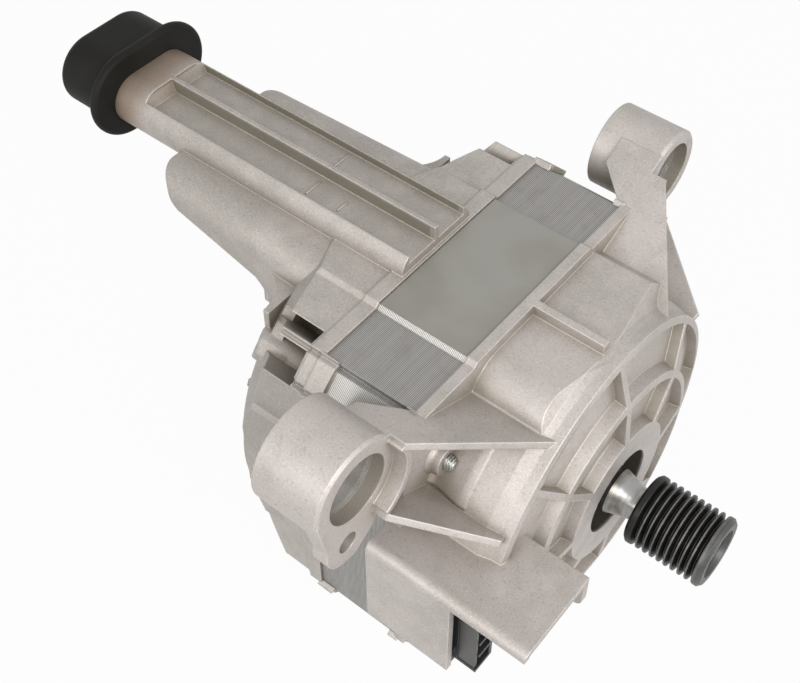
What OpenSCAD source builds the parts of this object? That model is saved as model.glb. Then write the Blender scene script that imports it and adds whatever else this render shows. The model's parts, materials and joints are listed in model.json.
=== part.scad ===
// Washing machine motor: laminated stator clamped between two die-cast end shields,
// permanent-magnet rotor on two ball bearings, poly-V belt pulley and a long support arm
// that ends in a rubber boot. X runs along the shaft towards the pulley, Z is up, and the
// origin is on the shaft axis in the middle of the belt track.

/* [Pulley and shaft] */
// Distance from one belt rib to the next
rib_pitch = 2.34; // [2.2:0.01:2.5]
// Number of belt grooves
groove_count = 9; // [6:1:10]
// Radius over the rib tips
pulley_r = 11.2; // [10.8:0.1:13]
// Depth of a belt groove
groove_depth = 2.1; // [1.6:0.1:2.4]
// Thickness of the pulley's inner flange
inner_flange = 2.2; // [1.6:0.1:3]
// Thickness of the pulley's outer flange
outer_flange = 2.3; // [1.6:0.1:5]
// Radius of the shaft where the pulley sits
pulley_seat_r = 5; // [4.5:0.1:6]
// Radius of the shaft in the front bearing
shaft_front_r = 7.5; // [7:0.1:8.5]
// Radius of the shaft in the rear bearing
shaft_rear_r = 6; // [5.5:0.1:6.5]
// Radius of the shaft under the rotor
shaft_core_r = 9; // [8.8:0.1:10]

/* [Stator] */
// Length of the lamination stack
core_length = 32.6; // [28:0.2:45]
// Thickness of the iron between the winding slots and the stack's flats
yoke_t = 9.6; // [8:0.1:12]
// Distance from the end of a flat to the stack's side, the size of its cut corners
corner_cut = 8.6; // [7:0.1:10]
// Distance from the raised land in the middle of a flat to the stack's side
land_inset = 29.6; // [26:0.1:34]
// Height of the raised land
land_height = 1.3; // [0.8:0.1:2]
// Size of the notch between a flat and its corner bevel
corner_notch = 1.6; // [1:0.1:2.4]
// Radius to the bottom of the winding slots
slot_outer_r = 48; // [44:0.2:54]
// Distance from the stator bore to the bottom of the winding slots
slot_depth = 18; // [17:0.1:20]
// Width of a tooth
tooth_w = 7; // [6:0.1:8]
// Depth of a tooth's pole shoe
shoe_depth = 2.6; // [2:0.1:3.4]
// Width of a slot's mouth
slot_mouth = 2.6; // [2:0.1:4]
// Thickness of a coil's side
coil_t = 3.8; // [3:0.1:4.4]
// Number of teeth and coils
tooth_count = 12; // [12:3:12]
// Thickness of the blank label foil
label_t = 0.3; // [0.2:0.05:0.5]

/* [Rotor] */
// Air gap between rotor and stator
air_gap = 0.7; // [0.5:0.05:1]
// Thickness of the magnets
magnet_t = 4.2; // [3:0.1:5]
// Number of magnets
magnet_count = 8; // [6:2:10]
// Gap between the cooling fan and the wall round it
fan_gap = 8.5; // [5:0.5:12]
// Number of fan blades
blade_count = 11; // [7:1:15]

/* [Front end shield] */
// Distance from the belt's middle back to the hub face
hub_face = 21.7; // [20:0.1:26]
// Distance from the hub face back to the front of the lamination stack
front_depth = 37.4; // [35:0.2:45]
// Distance of the ridge round the front face behind the hub face
rim_set_back = 6.5; // [4:0.1:8]
// Distance between that ridge and the middle ring
mid_ring_inset = 15.8; // [14:0.1:19]
// Radius of the hub face
hub_r = 23; // [22:0.1:25]
// Radius of the hole in the hub
hub_hole_r = 14.25; // [12:0.05:15]
// Width of the rings and radial ribs on the face
face_rib = 2.2; // [1.6:0.1:3]
// Number of radial ribs
face_rib_count = 8; // [6:1:10]
// Depth of the pockets between them
pocket_depth = 4; // [2.5:0.1:4.4]
// Thickness of a casting wall
wall = 3; // [2.6:0.1:3.4]
// Width of the flat on top of and under the round body, from the axis towards the connector's side
block_left = 18; // [15:0.2:22]
// Width of that flat towards the other side
block_right = 29.6; // [27:0.2:31]
// Rounding of the flat's edge on the connector's side
block_round = 12; // [8:0.5:13]
// Depth of that block's flat below the stack's flat
block_drop = 1.3; // [0.8:0.1:3]
// Thickness of the clamping flanges
flange_t = 2.4; // [2:0.1:3.4]
// Overlap of the flanges over the stack's edge
lip = 1; // [0.6:0.1:2]
// Height of the flanges above the stack
lip_height = 0.9; // [0.7:0.1:1.6]

/* [Mounting ears] */
// Distance of an ear sideways beyond the stack
ear_out = 17.2; // [16:0.2:24]
// Distance of an ear's middle below the stack's flat
ear_drop = 3; // [0:0.2:6]
// Length of an ear
ear_length = 21.5; // [18:0.5:26]
// Outer radius of the left ear
left_ear_r = 15.5; // [15:0.1:17]
// Bore radius of the left ear
left_bore_r = 10.5; // [9:0.1:11]
// Outer radius of the right ear
right_ear_r = 13.8; // [13.4:0.1:15.5]
// Bore radius of the right ear
right_bore_r = 9.8; // [8.5:0.1:10.2]
// Distance that the wall beside an ear stands in front of the ear
ear_recess = 4.7; // [2:0.1:6]
// Angle above the level where the upper gusset plates meet the rim
upper_gusset_angle = 60.2; // [56:0.2:64]
// Angle above the level where the lower gusset plates meet the rim
lower_gusset_angle = 30; // [26:0.2:34]
// Thickness of the gusset plates
gusset_t = 2.1; // [1.6:0.1:3]
// Radius of the small hole in the left ear's lug
lug_hole_r = 3.3; // [2.6:0.1:3.6]

/* [Connector] */
// Height of the connector hood's top above the axis
hood_z = 20; // [18:0.5:22]
// Height of the hood
hood_height = 37; // [34:0.5:40]
// Distance of the hood's outer side beyond the stack
hood_out = 12.6; // [11:0.1:16]
// Width of the hood's roof
hood_width = 29.7; // [26:0.1:34]
// Thickness of the hood's walls
hood_wall = 2.2; // [1.8:0.1:2.8]
// Distance from the hub face to the front of the hood
hood_reach = 14.3; // [12:0.1:16]
// Length of the hood's side wall
hood_side = 29; // [26:0.5:31]
// Height of the lip turned down at the hood's front corner
hood_lip = 12.5; // [8:0.5:16]
// Length of a terminal's blade
blade_length = 20; // [14:0.5:24]
// Number of terminals
terminal_count = 5; // [3:1:6]

/* [Rear end shield] */
// Distance from the back of the stack to the back of the rear shield
rear_depth = 29.3; // [28:0.1:36]
// Width of the round ring at the back
ring_w = 8.5; // [6:0.5:10]
// Half width of the arm's flat middle
arm_flat = 7; // [5:0.1:9]
// Radius of the arm's round sides, half its thickness
arm_r = 8.8; // [8:0.1:10]
// Height of the arm's middle above the stack's flat
arm_rise = 1.1; // [0:0.1:3]
// Distance from the back of the stack to the end of the arm
arm_length = 134; // [120:1:150]
// Depth of the two channels in the arm
channel_depth = 4.8; // [3:0.1:8]
// Half width over both channels
channel_half = 12.6; // [10:0.1:12.8]
// Width of the rib between the channels
channel_rib = 1.6; // [1.2:0.1:4]
// Length of the plain end of the arm
stub_length = 28.5; // [24:0.5:32]
// Half width of the stiffening web under the arm
web_half = 31; // [26:0.5:33]
// Height of that web's top above the stack's flat
web_rise = 0.8; // [0:0.1:2]
// Distance from the back of the stack to the end of the web
web_length = 87; // [80:1:100]

/* [Rubber boot] */
// Length of the boot's body
boot_length = 19; // [16:0.5:24]
// Thickness of the rubber
boot_wall = 3.4; // [3:0.1:5]
// Thickness of the boot's lip
boot_lip_t = 3.4; // [2.4:0.1:4.5]
// Width of the boot's lip beyond its body
boot_lip = 2.9; // [2:0.1:5]
// Height of the boot's middle above the arm's middle
boot_rise = 2; // [0:0.1:2.4]

/* [Screws and bearings] */
// Distance from a through screw to the stack's side
screw_inset = 14.1; // [13.6:0.1:15]
// Distance from a through screw to the stack's flat
screw_drop = 21.6; // [20.5:0.1:22.4]
// Radius of a through screw
screw_r = 2.5; // [2.2:0.1:2.8]
// Length of the screw tips that stand out of their bosses
screw_tip = 2.5; // [2:0.1:6]
// Width of the front bearing
front_bearing_w = 11; // [10:0.5:12]
// Outer radius of the front bearing
front_bearing_r = 17.5; // [17.3:0.1:18]
// Width of the rear bearing
rear_bearing_w = 10; // [9:0.5:10.5]
// Outer radius of the rear bearing
rear_bearing_r = 16; // [15.8:0.1:17]
// Radius of the bearing balls
ball_r = 2.95; // [2.7:0.05:3.1]

/* [Hidden] */
$fn = 96;

// Clearance of parts that are pressed together, and of parts that are laid in
press_gap = 0.02;
seat_gap = 0.1;
loose_gap = 0.3;
// Overlap that makes two shapes of one casting a single solid, and cuts run past a face
weld = 0.5;
past = 1;

casting = [0.78, 0.75, 0.72];
steel = [0.62, 0.62, 0.64];
rubber = [0.1, 0.1, 0.1];
plastic = [0.13, 0.13, 0.14];
insulator = [0.9, 0.88, 0.82];
copper = [0.72, 0.4, 0.2];

// Places across the shaft
core_half = slot_outer_r + yoke_t;
flat_half = core_half - corner_cut;
land_half = core_half - land_inset;
bore_r = slot_outer_r - slot_depth;
body_r = core_half - 0.3;
rim_r = body_r - 1.3;
mid_ring_r = rim_r - mid_ring_inset;
block_top = core_half - block_drop;
ear_y = core_half + ear_out;
ear_z = core_half - ear_drop;
hood_y = core_half + hood_out;
hood_inner_y = hood_y - hood_width;
arm_z = core_half + arm_rise;
web_z = core_half + web_rise;
screw_y = core_half - screw_inset;
screw_z = core_half - screw_drop;
rear_cavity_r = slot_outer_r + 3.5;
fan_r = rear_cavity_r - fan_gap;

// Places along the shaft
core_front = -hub_face - front_depth;
core_rear = core_front - core_length;
core_mid = (core_front + core_rear) / 2;
shield_back = core_rear - rear_depth;
arm_end = core_rear - arm_length;
stub_start = arm_end + stub_length;
rim_x = -hub_face - rim_set_back;
ear_front = core_front + 1.1;
flange_front = core_front + flange_t;
foot_z = core_half + land_height + lip_height;

// The front bearing sits against a shoulder behind the hub face
front_shoulder = 5.3;
front_bearing_x = -hub_face - front_shoulder - front_bearing_w;
// The rear bearing is pushed forward by a wavy washer behind it
washer_space = 1.7;
rear_wall = 4;
rear_seat_floor = shield_back + rear_wall - 1.2;
rear_bearing_x = rear_seat_floor + washer_space;

// Insulation and coils on the teeth
liner = 0.6;
end_plate = 1.4;
coil_inner_r = bore_r + shoe_depth + 1.6;
coil_outer_r = slot_outer_r - 2.4;
coil_corner_r = norm([coil_outer_r, tooth_w / 2 + liner + seat_gap + coil_t]);
coil_end = end_plate + 0.1 + coil_t;
guard_t = 1.2;
guard_h = end_plate + coil_t + 1;

// Rotor
rotor_r = bore_r - air_gap;
magnet_inner_r = rotor_r - magnet_t;
magnet_share = 0.88;

// Hood over the connector
hood_front = -hub_face + hood_reach;
hood_back = core_front - 1.5;
hood_bottom = hood_z - hood_height;

// A shape drawn across the shaft, sideways and up, drawn out from x0 to x1
module across(x0, x1) {
    translate([x0, 0, 0]) rotate([90, 0, 90]) linear_extrude(x1 - x0) children();
}

// An outline of (radius, x) turned about the shaft axis; the angle runs from +Y towards +Z
module turned(start = 0, sweep = 360) {
    rotate([0, 90, 0]) rotate([0, 0, start + 90]) rotate_extrude(angle = sweep) children();
}

// A round rod along the shaft's direction at a given place
module rod(y, z, x0, x1, r) {
    translate([x0, y, z]) rotate([0, 90, 0]) cylinder(r = r, h = x1 - x0);
}

module ring_2d(r_out, r_in) {
    difference() {
        circle(r_out);
        circle(r_in);
    }
}

module rounded_box_2d(length, width, r) {
    square([length - 2 * r, width], center = true);
    square([length, width - 2 * r], center = true);
    for (sx = [-1, 1], sy = [-1, 1])
        translate([sx * (length / 2 - r), sy * (width / 2 - r)]) circle(r);
}

// A flat-sided oval: straight for 2 * half, with round ends
module oval_2d(half, r) {
    square([2 * half, 2 * r], center = true);
    for (s = [-1, 1]) translate([s * half, 0]) circle(r);
}

// One eighth of the stack's outline as (along the flat, out from the axis), grown by g
function flat_edge(g) = [[land_half - land_height + g / 2, core_half + land_height + g],
                         [land_half + g / 2, core_half + g],
                         [flat_half + g / 2, core_half + g]];
function notch_edge(g) = [[flat_half + g / 2, core_half - corner_notch + g],
                          [flat_half + corner_notch + g / 2, core_half - corner_notch + g]];
function swapped(points) = [for (i = [len(points) - 1 : -1 : 0]) [points[i][1], points[i][0]]];
function quarter_turn(points, n) = n == 0 ? points
    : quarter_turn([for (p = points) [p[1], -p[0]]], n - 1);
function corner_outline(g) = concat(flat_edge(g), notch_edge(g), swapped(notch_edge(g)),
                                    swapped(flat_edge(g)));
function stack_outline(g) = [for (n = [0 : 3]) each quarter_turn(corner_outline(g), n)];

// Lugs that hold the stack by its corner bevels, from x0 to x1
module corner_lugs(x0, x1, proud) {
    across(x0, x1) intersection() {
        difference() {
            polygon(stack_outline(proud));
            polygon(stack_outline(-weld));
        }
        for (a = [45, 135]) rotate(a)
            square([4 * core_half, 2 * (core_half - flat_half + 0.4) * 0.74], center = true);
    }
}

// Even repeats round the shaft axis
module around(count, start = 0) {
    for (i = [0 : count - 1]) rotate([start + i * 360 / count, 0, 0]) children();
}

// The four screw places
module at_screws() {
    for (sy = [-1, 1], sz = [-1, 1]) translate([0, sy * screw_y, sz * screw_z]) children();
}

module tooth_bars(width, r_in, r_out) {
    for (i = [0 : tooth_count - 1]) rotate(i * 360 / tooth_count)
        translate([r_in, -width / 2]) square([r_out - r_in, width]);
}

// Stator

module stator_core() {
    color(steel) across(core_rear, core_front) difference() {
        polygon(stack_outline(0));
        circle(bore_r);
        difference() {
            ring_2d(slot_outer_r, bore_r + shoe_depth);
            tooth_bars(tooth_w, bore_r, slot_outer_r + past);
        }
        for (i = [0 : tooth_count - 1]) rotate((i + 0.5) * 360 / tooth_count)
            translate([bore_r - past, -slot_mouth / 2]) square([shoe_depth + 2 * past, slot_mouth]);
        for (sy = [-1, 1], sz = [-1, 1])
            translate([sy * screw_y, sz * screw_z]) circle(screw_r + loose_gap);
    }
}

module blank_label() {
    side = land_half - land_height;
    color([0.6, 0.6, 0.58])
        translate([core_rear + lip + loose_gap, -side, core_half + land_height])
            cube([core_length - 2 * (lip + loose_gap), 2 * side, label_t]);
}

// Plastic end cap on one face of the stack, with a leg down both sides of every tooth
module slot_insulator_2d() {
    difference() {
        union() {
            ring_2d(slot_outer_r + 1.2, coil_corner_r + 0.2);
            ring_2d(bore_r + shoe_depth - 0.2, bore_r + 0.4);
            intersection() {
                tooth_bars(tooth_w + 2 * liner, bore_r + 1, slot_outer_r);
                circle(slot_outer_r);
            }
        }
        for (i = [0 : tooth_count - 1]) rotate((i + 0.5) * 360 / tooth_count)
            translate([bore_r - past, -slot_mouth / 2]) square([shoe_depth + past, slot_mouth]);
    }
}

module insulator_legs_2d() {
    leg_r = bore_r + shoe_depth + 0.3;
    intersection() {
        difference() {
            tooth_bars(tooth_w + 2 * liner, leg_r, slot_outer_r);
            tooth_bars(tooth_w + 0.1, leg_r - past, slot_outer_r + past);
        }
        circle(slot_outer_r - 0.1);
    }
}

// Drawn from the stack's face at x = 0 outwards; the legs run back into the slots
module slot_insulator() {
    leg = core_length / 2 - 0.3;
    across(0, end_plate) slot_insulator_2d();
    across(-leg, 0.1) insulator_legs_2d();
    across(0, guard_h) ring_2d(slot_outer_r - 0.1, slot_outer_r - 0.1 - guard_t);
    across(0, guard_h) intersection() {
        ring_2d(bore_r + shoe_depth - 0.2, bore_r + shoe_depth - 0.2 - guard_t);
        tooth_bars(tooth_w, bore_r, bore_r + 2 * shoe_depth);
    }
}

module front_slot_insulator() {
    color(insulator) translate([core_front, 0, 0]) slot_insulator();
}

module rear_slot_insulator() {
    color(insulator) translate([core_rear, 0, 0]) mirror([1, 0, 0]) slot_insulator();
}

module stator_coils() {
    inner_l = core_length + 2 * (end_plate + 0.1);
    inner_w = tooth_w + 2 * liner + 0.2;
    color(copper) around(tooth_count) translate([core_mid, 0, coil_inner_r])
        linear_extrude(coil_outer_r - coil_inner_r) difference() {
            rounded_box_2d(inner_l + 2 * coil_t, inner_w + 2 * coil_t, coil_t);
            rounded_box_2d(inner_l, inner_w, 0.3);
        }
}

// Small thermal cut-out tied on a coil's front end
module thermal_cutout() {
    depth = 3.2;
    r = (coil_inner_r + coil_outer_r) / 2;
    color(insulator) translate([core_front + coil_end + 0.1, -5.5, r - 3])
        cube([depth, 11, 6]);
}

// Connector

lead_pitch = 6;
lead_x = core_front + 7.6;
lead_start = slot_outer_r + loose_gap;
housing_in = body_r + loose_gap + 0.3;
housing_out = hood_y - hood_wall - loose_gap;
housing_back = hood_back + hood_wall + loose_gap;
housing_front = -hub_face - 3.2;
housing_top = hood_z - hood_wall - loose_gap;
housing_wall = 1.3;
// The housing's nose is narrower, and its outer side is a plate let in between floor and roof
nose_out = housing_out - 2;
nose_back = hood_back + hood_side - 0.5;
side_plate_t = 1.1;
side_plate_back = nose_back + 1;
blade_t = 0.8;
cell_pitch = (housing_top - hood_bottom - housing_wall) / terminal_count;
cell_height = cell_pitch - housing_wall;
cell_width = nose_out - housing_in - 2 * housing_wall;
cell_middle = (nose_out + housing_in) / 2;
blade_w = cell_width - 0.8;
blade_back = flange_front + loose_gap;
function cell_z(i) = hood_bottom + housing_wall + i * cell_pitch;

// Three winding leads from the stator's front to the connector
module phase_leads() {
    color([0.75, 0.2, 0.15]) for (i = [-1 : 1])
        translate([lead_x, -housing_in + 0.05, i * lead_pitch])
            rotate([-90, 0, 0]) cylinder(r = 1.1, h = housing_in - lead_start);
}

// Black housing with a row of cells that open towards the front
module connector_housing() {
    height = housing_top - hood_bottom;
    back = 5;
    color(plastic) difference() {
        union() {
            translate([housing_back, -housing_out, hood_bottom])
                cube([nose_back - housing_back, housing_out - housing_in, height]);
            translate([nose_back - weld, -nose_out, hood_bottom])
                cube([housing_front - nose_back + weld, nose_out - housing_in, height]);
        }
        for (i = [0 : terminal_count - 1]) {
            translate([housing_back + back, -cell_middle - cell_width / 2, cell_z(i)])
                cube([housing_front - housing_back, cell_width, cell_height]);
            translate([housing_back - past, -cell_middle - blade_w / 2 - 0.1,
                       cell_z(i) + (cell_height - blade_t) / 2 - 0.1])
                cube([back + 2 * past, blade_w + 0.2, blade_t + 0.2]);
        }
        // Room for the side plate
        translate([side_plate_back - 0.1, -nose_out - past, hood_bottom + housing_wall])
            cube([housing_front - side_plate_back + past, housing_wall + past + 0.1,
                  height - 2 * housing_wall]);
        // The plug's latch hooks into this step
        translate([nose_back - 3, -housing_out - past, hood_bottom + 6])
            cube([3 + past, 2 + past, height - 14]);
        // Clear of the front shield's flange
        across(housing_back - past, flange_front + loose_gap) polygon(stack_outline(lip_height + loose_gap));
    }
}

// Grey plate that locks the terminals in from the side
module connector_side_plate() {
    color([0.5, 0.5, 0.49]) translate([side_plate_back, -nose_out + housing_wall - side_plate_t, hood_bottom + housing_wall + 0.05])
        cube([housing_front - 0.5 - side_plate_back, side_plate_t,
              housing_top - hood_bottom - 2 * housing_wall - 0.1]);
}

module connector_terminals() {
    color([0.8, 0.76, 0.6]) for (i = [0 : terminal_count - 1])
        translate([blade_back, -cell_middle - blade_w / 2, cell_z(i) + (cell_height - blade_t) / 2])
            cube([blade_length, blade_w, blade_t]);
}

// Front end shield

// Front of the face's ribs and rings, from the hub outwards, as (radius, x)
mid_crest = [[mid_ring_r - face_rib, -hub_face - 1.4], [mid_ring_r, -hub_face - 1.9]];
rim_crest = [[rim_r - face_rib, rim_x + 0.7], [rim_r, rim_x]];
cavity_r = body_r - wall - 2.6;

module face_outline() {
    polygon(concat([[0, core_front + weld], [0, -hub_face], [hub_r, -hub_face]], mid_crest, rim_crest,
                   [[rim_r + 0.2, rim_x - 3], [body_r, rim_x - 7], [body_r, core_front + weld]]));
}

// Ring-shaped pockets between hub, middle ring and rim
module pocket_rings() {
    turned() polygon([[hub_r + 0.6, -hub_face + past], [hub_r + 1.4, -hub_face - pocket_depth],
                      [mid_crest[0][0] - 0.8, mid_crest[0][1] - pocket_depth + 0.4],
                      [mid_crest[0][0], mid_crest[0][1]], [mid_crest[0][0], -hub_face + past]]);
    turned() polygon([[mid_ring_r, -hub_face + past], [mid_ring_r, mid_crest[1][1]],
                      [mid_ring_r + 0.8, mid_crest[1][1] - pocket_depth],
                      [rim_crest[0][0] - 0.8, rim_crest[0][1] - pocket_depth + 0.6],
                      [rim_crest[0][0], rim_crest[0][1]], [rim_crest[0][0], -hub_face + past]]);
}

module radial_ribs() {
    around(face_rib_count) translate([rim_x - 3 * pocket_depth, -face_rib / 2, hub_hole_r + 2])
        cube([3 * pocket_depth + 3 * rim_set_back, face_rib, rim_r - hub_hole_r - 3]);
}

// Inside of the front shield, behind the face
module front_cavity() {
    boss_back = front_bearing_x - 1.6;
    turned() polygon([[0, core_front - past], [cavity_r, core_front - past],
                      [cavity_r, rim_x - 10.5], [cavity_r - 4.5, rim_x - 8],
                      [mid_ring_r, rim_x - 6], [hub_r + 2, -hub_face - pocket_depth - wall - 2],
                      [hub_r - 0.3, -hub_face - pocket_depth - wall - 2], [hub_r - 0.3, boss_back],
                      [0, boss_back]]);
}

// Flat blocks on top of and under the round body: one edge rounded, the other one sloped
module blocks_2d() {
    for (m = [0, 1]) mirror([0, m]) {
        polygon([[-block_left, block_top], [block_right, block_top],
                 [block_right + 5.5, block_top - 4.6], [block_right + 5.5, block_top - 14],
                 [-block_left - block_round, block_top - 14],
                 [-block_left - block_round, block_top - block_round]]);
        translate([-block_left, block_top - block_round]) circle(block_round);
    }
}

// The blocks, sloped off towards the front
module body_blocks() {
    intersection() {
        across(core_front + weld, rim_x - 1) blocks_2d();
        turned() polygon([[0, core_front], [body_r + 10.7, core_front], [body_r + 10.7, rim_x - 12.8],
                          [body_r + 6.2, rim_x - 8.8], [body_r + 1.9, rim_x - 7.1],
                          [rim_r + 0.4, rim_x - 5], [rim_r + 0.1, rim_x - 3.1], [0, rim_x - 3.1]]);
    }
}

// Round body, cut just below the blocks
module round_body() {
    intersection() {
        turned() face_outline();
        translate([core_front - past, -2 * body_r, -block_top + 0.2])
            cube([front_depth + 2 * past, 4 * body_r, 2 * block_top - 0.4]);
    }
}

// The valleys between the gussets where the screw bosses stand
valley_r = cavity_r + wall - 0.2;
module screw_valleys() {
    for (a = [30, 126, 210, 306]) turned(a, 24) polygon([
        [valley_r, flange_front - weld], [valley_r, rim_x - 22], [body_r + 3, rim_x - 13],
        [body_r + 9, rim_x - 13], [body_r + 9, flange_front - weld]]);
}

screw_boss_r = 4.8;
screw_boss_front = flange_front + 3.4;
module screw_bosses() {
    at_screws() rotate([0, 90, 0]) translate([0, 0, core_front + weld])
        cylinder(r1 = screw_boss_r + 0.6, r2 = screw_boss_r, h = screw_boss_front - core_front - weld);
}

// One ear at side s, which is 1 for the right and -1 for the left one
module ear_barrel(s, r) {
    y = s * ear_y;
    rod(y, ear_z, ear_front - ear_length, ear_front - 0.8, r);
    translate([ear_front - 0.8, y, ear_z]) rotate([0, 90, 0]) cylinder(r1 = r, r2 = r - 0.8, h = 0.8);
}

// The gusset plates run from a point on the rim to a point beside the ear, drawn sideways and up
upper_start = [(body_r - 1.3) * cos(upper_gusset_angle), (body_r - 1.3) * sin(upper_gusset_angle)];
upper_end = [ear_y - 13.2, ear_z + 9.2];
lower_start = [(body_r + 1.7) * cos(lower_gusset_angle), (body_r + 1.7) * sin(lower_gusset_angle)];
lower_end = [ear_y - 6, ear_z - 13.9];
ear_wall_front = ear_front + ear_recess;
collar_r = 13.9;

// Puts a plate drawn as (x, distance along the line) with its top on the line from a to b
module on_line(s, a, b, t) {
    mirror([0, s > 0 ? 0 : 1, 0]) translate([0, a[0], a[1]])
        rotate([atan2(b[1] - a[1], b[0] - a[0]), 0, 0])
            translate([0, 0, -t]) linear_extrude(t) children();
}

// Wall, brace, collar and gusset plates between an ear and the body
module ear_carrier(s, r) {
    upper_length = norm(upper_end - upper_start);
    lower_length = norm(lower_end - lower_start);
    // Wall in line with the flange
    across(core_front - weld, ear_front) mirror([s > 0 ? 0 : 1, 0]) polygon([
        [flat_half - 3, core_half - 3], [flat_half + 2, core_half], upper_end - [0, 0.3], [ear_y, ear_z],
        lower_end, lower_start - [0, 1], [flat_half - 3, lower_start[1] - 3]]);
    // Collar that the wall forms round the front of the ear
    across(ear_front - weld, ear_wall_front) mirror([s > 0 ? 0 : 1, 0]) intersection() {
        translate([ear_y, ear_z]) ring_2d(collar_r + 2, collar_r);
        polygon([upper_end + [0.9, -1.1], upper_end - [4, 2.9], lower_start, lower_end - [0.4, 0.9],
                 [ear_y, ear_z]]);
    }
    // Brace that runs back from the flange to the barrel
    on_line(s, upper_start, upper_end, 7) polygon([
        [ear_front, upper_length - 16], [core_front - 1.4, upper_length - 14],
        [ear_front - 14, upper_length - 3.6], [ear_front - 14.4, upper_length + 6], [ear_front, upper_length + 6]]);
    on_line(s, upper_start, upper_end, gusset_t) polygon([
        [core_front, -8], [core_front, upper_length], [ear_wall_front, upper_length],
        [rim_x - 1.2, 0], [rim_x - 1, -2.4], [rim_x - 8, -8]]);
    on_line(s, lower_start, lower_end, gusset_t) polygon([
        [core_front, -8], [core_front, lower_length], [ear_wall_front, lower_length],
        [rim_x - 1.1, 0], [rim_x - 1.6, -2.4], [rim_x - 8, -8]]);
}

// Lug under the left ear
lug_y = ear_y + 4.6;
lug_z = ear_z - 18.8;
module ear_lug() {
    across(ear_front - 5, ear_front) {
        polygon([[-ear_y + 8, ear_z - 8], [-ear_y + 6, lug_z - 3], [-lug_y + 2, lug_z - 8.6],
                 [-lug_y - 6.5, lug_z - 3], [-ear_y - left_ear_r + 0.2, ear_z]]);
        translate([-lug_y, lug_z]) circle(8);
    }
}

// Hood over the connector: roof, outer side, back and a small turned-down lip
module connector_hood() {
    roof = hood_y - hood_inner_y;
    edge_r = 3;
    difference() {
        union() {
            // Roof and side in one bend with a rounded edge
            across(hood_back, hood_front) difference() {
                union() {
                    translate([-hood_y + edge_r, hood_z - hood_wall]) square([roof - edge_r, hood_wall]);
                    translate([-hood_y, hood_bottom]) square([hood_wall, hood_height - edge_r]);
                    translate([-hood_y + edge_r, hood_z - edge_r]) circle(edge_r);
                }
                translate([-hood_y + hood_wall, hood_bottom - past])
                    square([2 * edge_r, hood_height - hood_wall + past]);
            }
            translate([hood_back, -hood_y + 1, hood_bottom])
                cube([hood_wall, hood_y - cavity_r - 1, hood_height - 1]);
            // Lip with a rounded lower end
            translate([hood_front - 7.5, -hood_inner_y - hood_wall, hood_z - hood_lip + 3])
                cube([7.5, hood_wall, hood_lip - 3]);
            translate([hood_front - 4.5, -hood_inner_y - hood_wall, hood_z - hood_lip])
                cube([1.5, hood_wall, 4]);
            for (x = [4.5, 3]) translate([hood_front - x, -hood_inner_y, hood_z - hood_lip + 3])
                rotate([90, 0, 0]) cylinder(r = 3, h = hood_wall);
        }
        // The side wall stops behind the roof's front
        translate([hood_back + hood_side, -hood_y - past, hood_bottom - past])
            cube([hood_front - hood_back, hood_wall + 2 * past, hood_height - edge_r + past]);
        // The roof stops at the round body
        translate([rim_x, 0, 0]) turned() polygon([[0, -60], [cavity_r + weld, -60], [cavity_r + weld, -8],
                                                    [mid_ring_r, -2], [0, -2]]);
    }
}

// Opening in the body's wall where the winding leads pass
module lead_window() {
    translate([lead_x - 3, -body_r - past, -lead_pitch - 3])
        cube([6, body_r - cavity_r + 2 + past, 2 * lead_pitch + 6]);
}

module front_end_shield() {
    color(casting) difference() {
        union() {
            across(core_front - lip, flange_front) polygon(stack_outline(lip_height));
            corner_lugs(core_front - 3.6, core_front, 1.5);
            difference() {
                union() {
                    round_body();
                    body_blocks();
                }
                screw_valleys();
            }
            screw_bosses();
            for (s = [-1, 1]) translate([core_front + weld, -face_rib / 2 - 0.2, s > 0 ? block_top - 3 : -foot_z])
                cube([front_depth - rim_set_back - 5.7, face_rib + 0.4, foot_z - block_top + 3]);
            ear_barrel(-1, left_ear_r);
            ear_barrel(1, right_ear_r);
            ear_carrier(-1, left_ear_r);
            ear_carrier(1, right_ear_r);
            ear_lug();
            connector_hood();
        }
        front_cavity();
        difference() {
            pocket_rings();
            radial_ribs();
        }
        // Seat round the edge of the stack
        across(core_front - ear_length, core_front) polygon(stack_outline(seat_gap));
        rod(0, 0, -hub_face - front_shoulder - front_bearing_w - 3, -hub_face - front_shoulder,
            front_bearing_r + press_gap);
        rod(0, 0, -hub_face - front_shoulder - past, -hub_face + past, hub_hole_r);
        at_screws() rotate([0, 90, 0]) translate([0, 0, core_front - past])
            cylinder(r = screw_r + seat_gap / 2, h = screw_boss_front - core_front + 2 * past);
        // Room for the screw tips in the floor of the valleys
        at_screws() rotate([0, 90, 0]) translate([0, 0, screw_boss_front])
            cylinder(r = screw_r + loose_gap, h = screw_tip + loose_gap);
        rod(-ear_y, ear_z, ear_front - ear_length - past, ear_front + past, left_bore_r);
        rod(ear_y, ear_z, ear_front - ear_length - past, ear_front + past, right_bore_r);
        rod(-lug_y, lug_z, ear_front - 5 - past, ear_front + past, lug_hole_r);
        lead_window();
    }
}

// Rear end shield with the support arm

ring_front = shield_back + ring_w;
rear_lug_length = 5.9;

// Square corners of the shield, cut off towards the back ring
module rear_corners() {
    intersection() {
        across(ring_front - 5, core_rear) polygon(stack_outline(0.2));
        turned() polygon([[0, core_rear], [core_half + 22, core_rear], [core_half + 22, core_rear - 13.2],
                          [core_half + 18.7, ring_front + 6.4], [core_half + 6.9, ring_front - 0.2],
                          [core_half + 3, ring_front - 5], [0, ring_front - 5]]);
    }
}

module rear_bowl() {
    turned() polygon([[0, core_rear - weld], [rear_cavity_r + wall, core_rear - weld],
                      [rear_cavity_r + wall, ring_front + 2], [foot_z - 1, ring_front + 1],
                      [foot_z, ring_front], [foot_z, shield_back + 3.5], [foot_z - 3.5, shield_back],
                      [0, shield_back]]);
}

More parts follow.
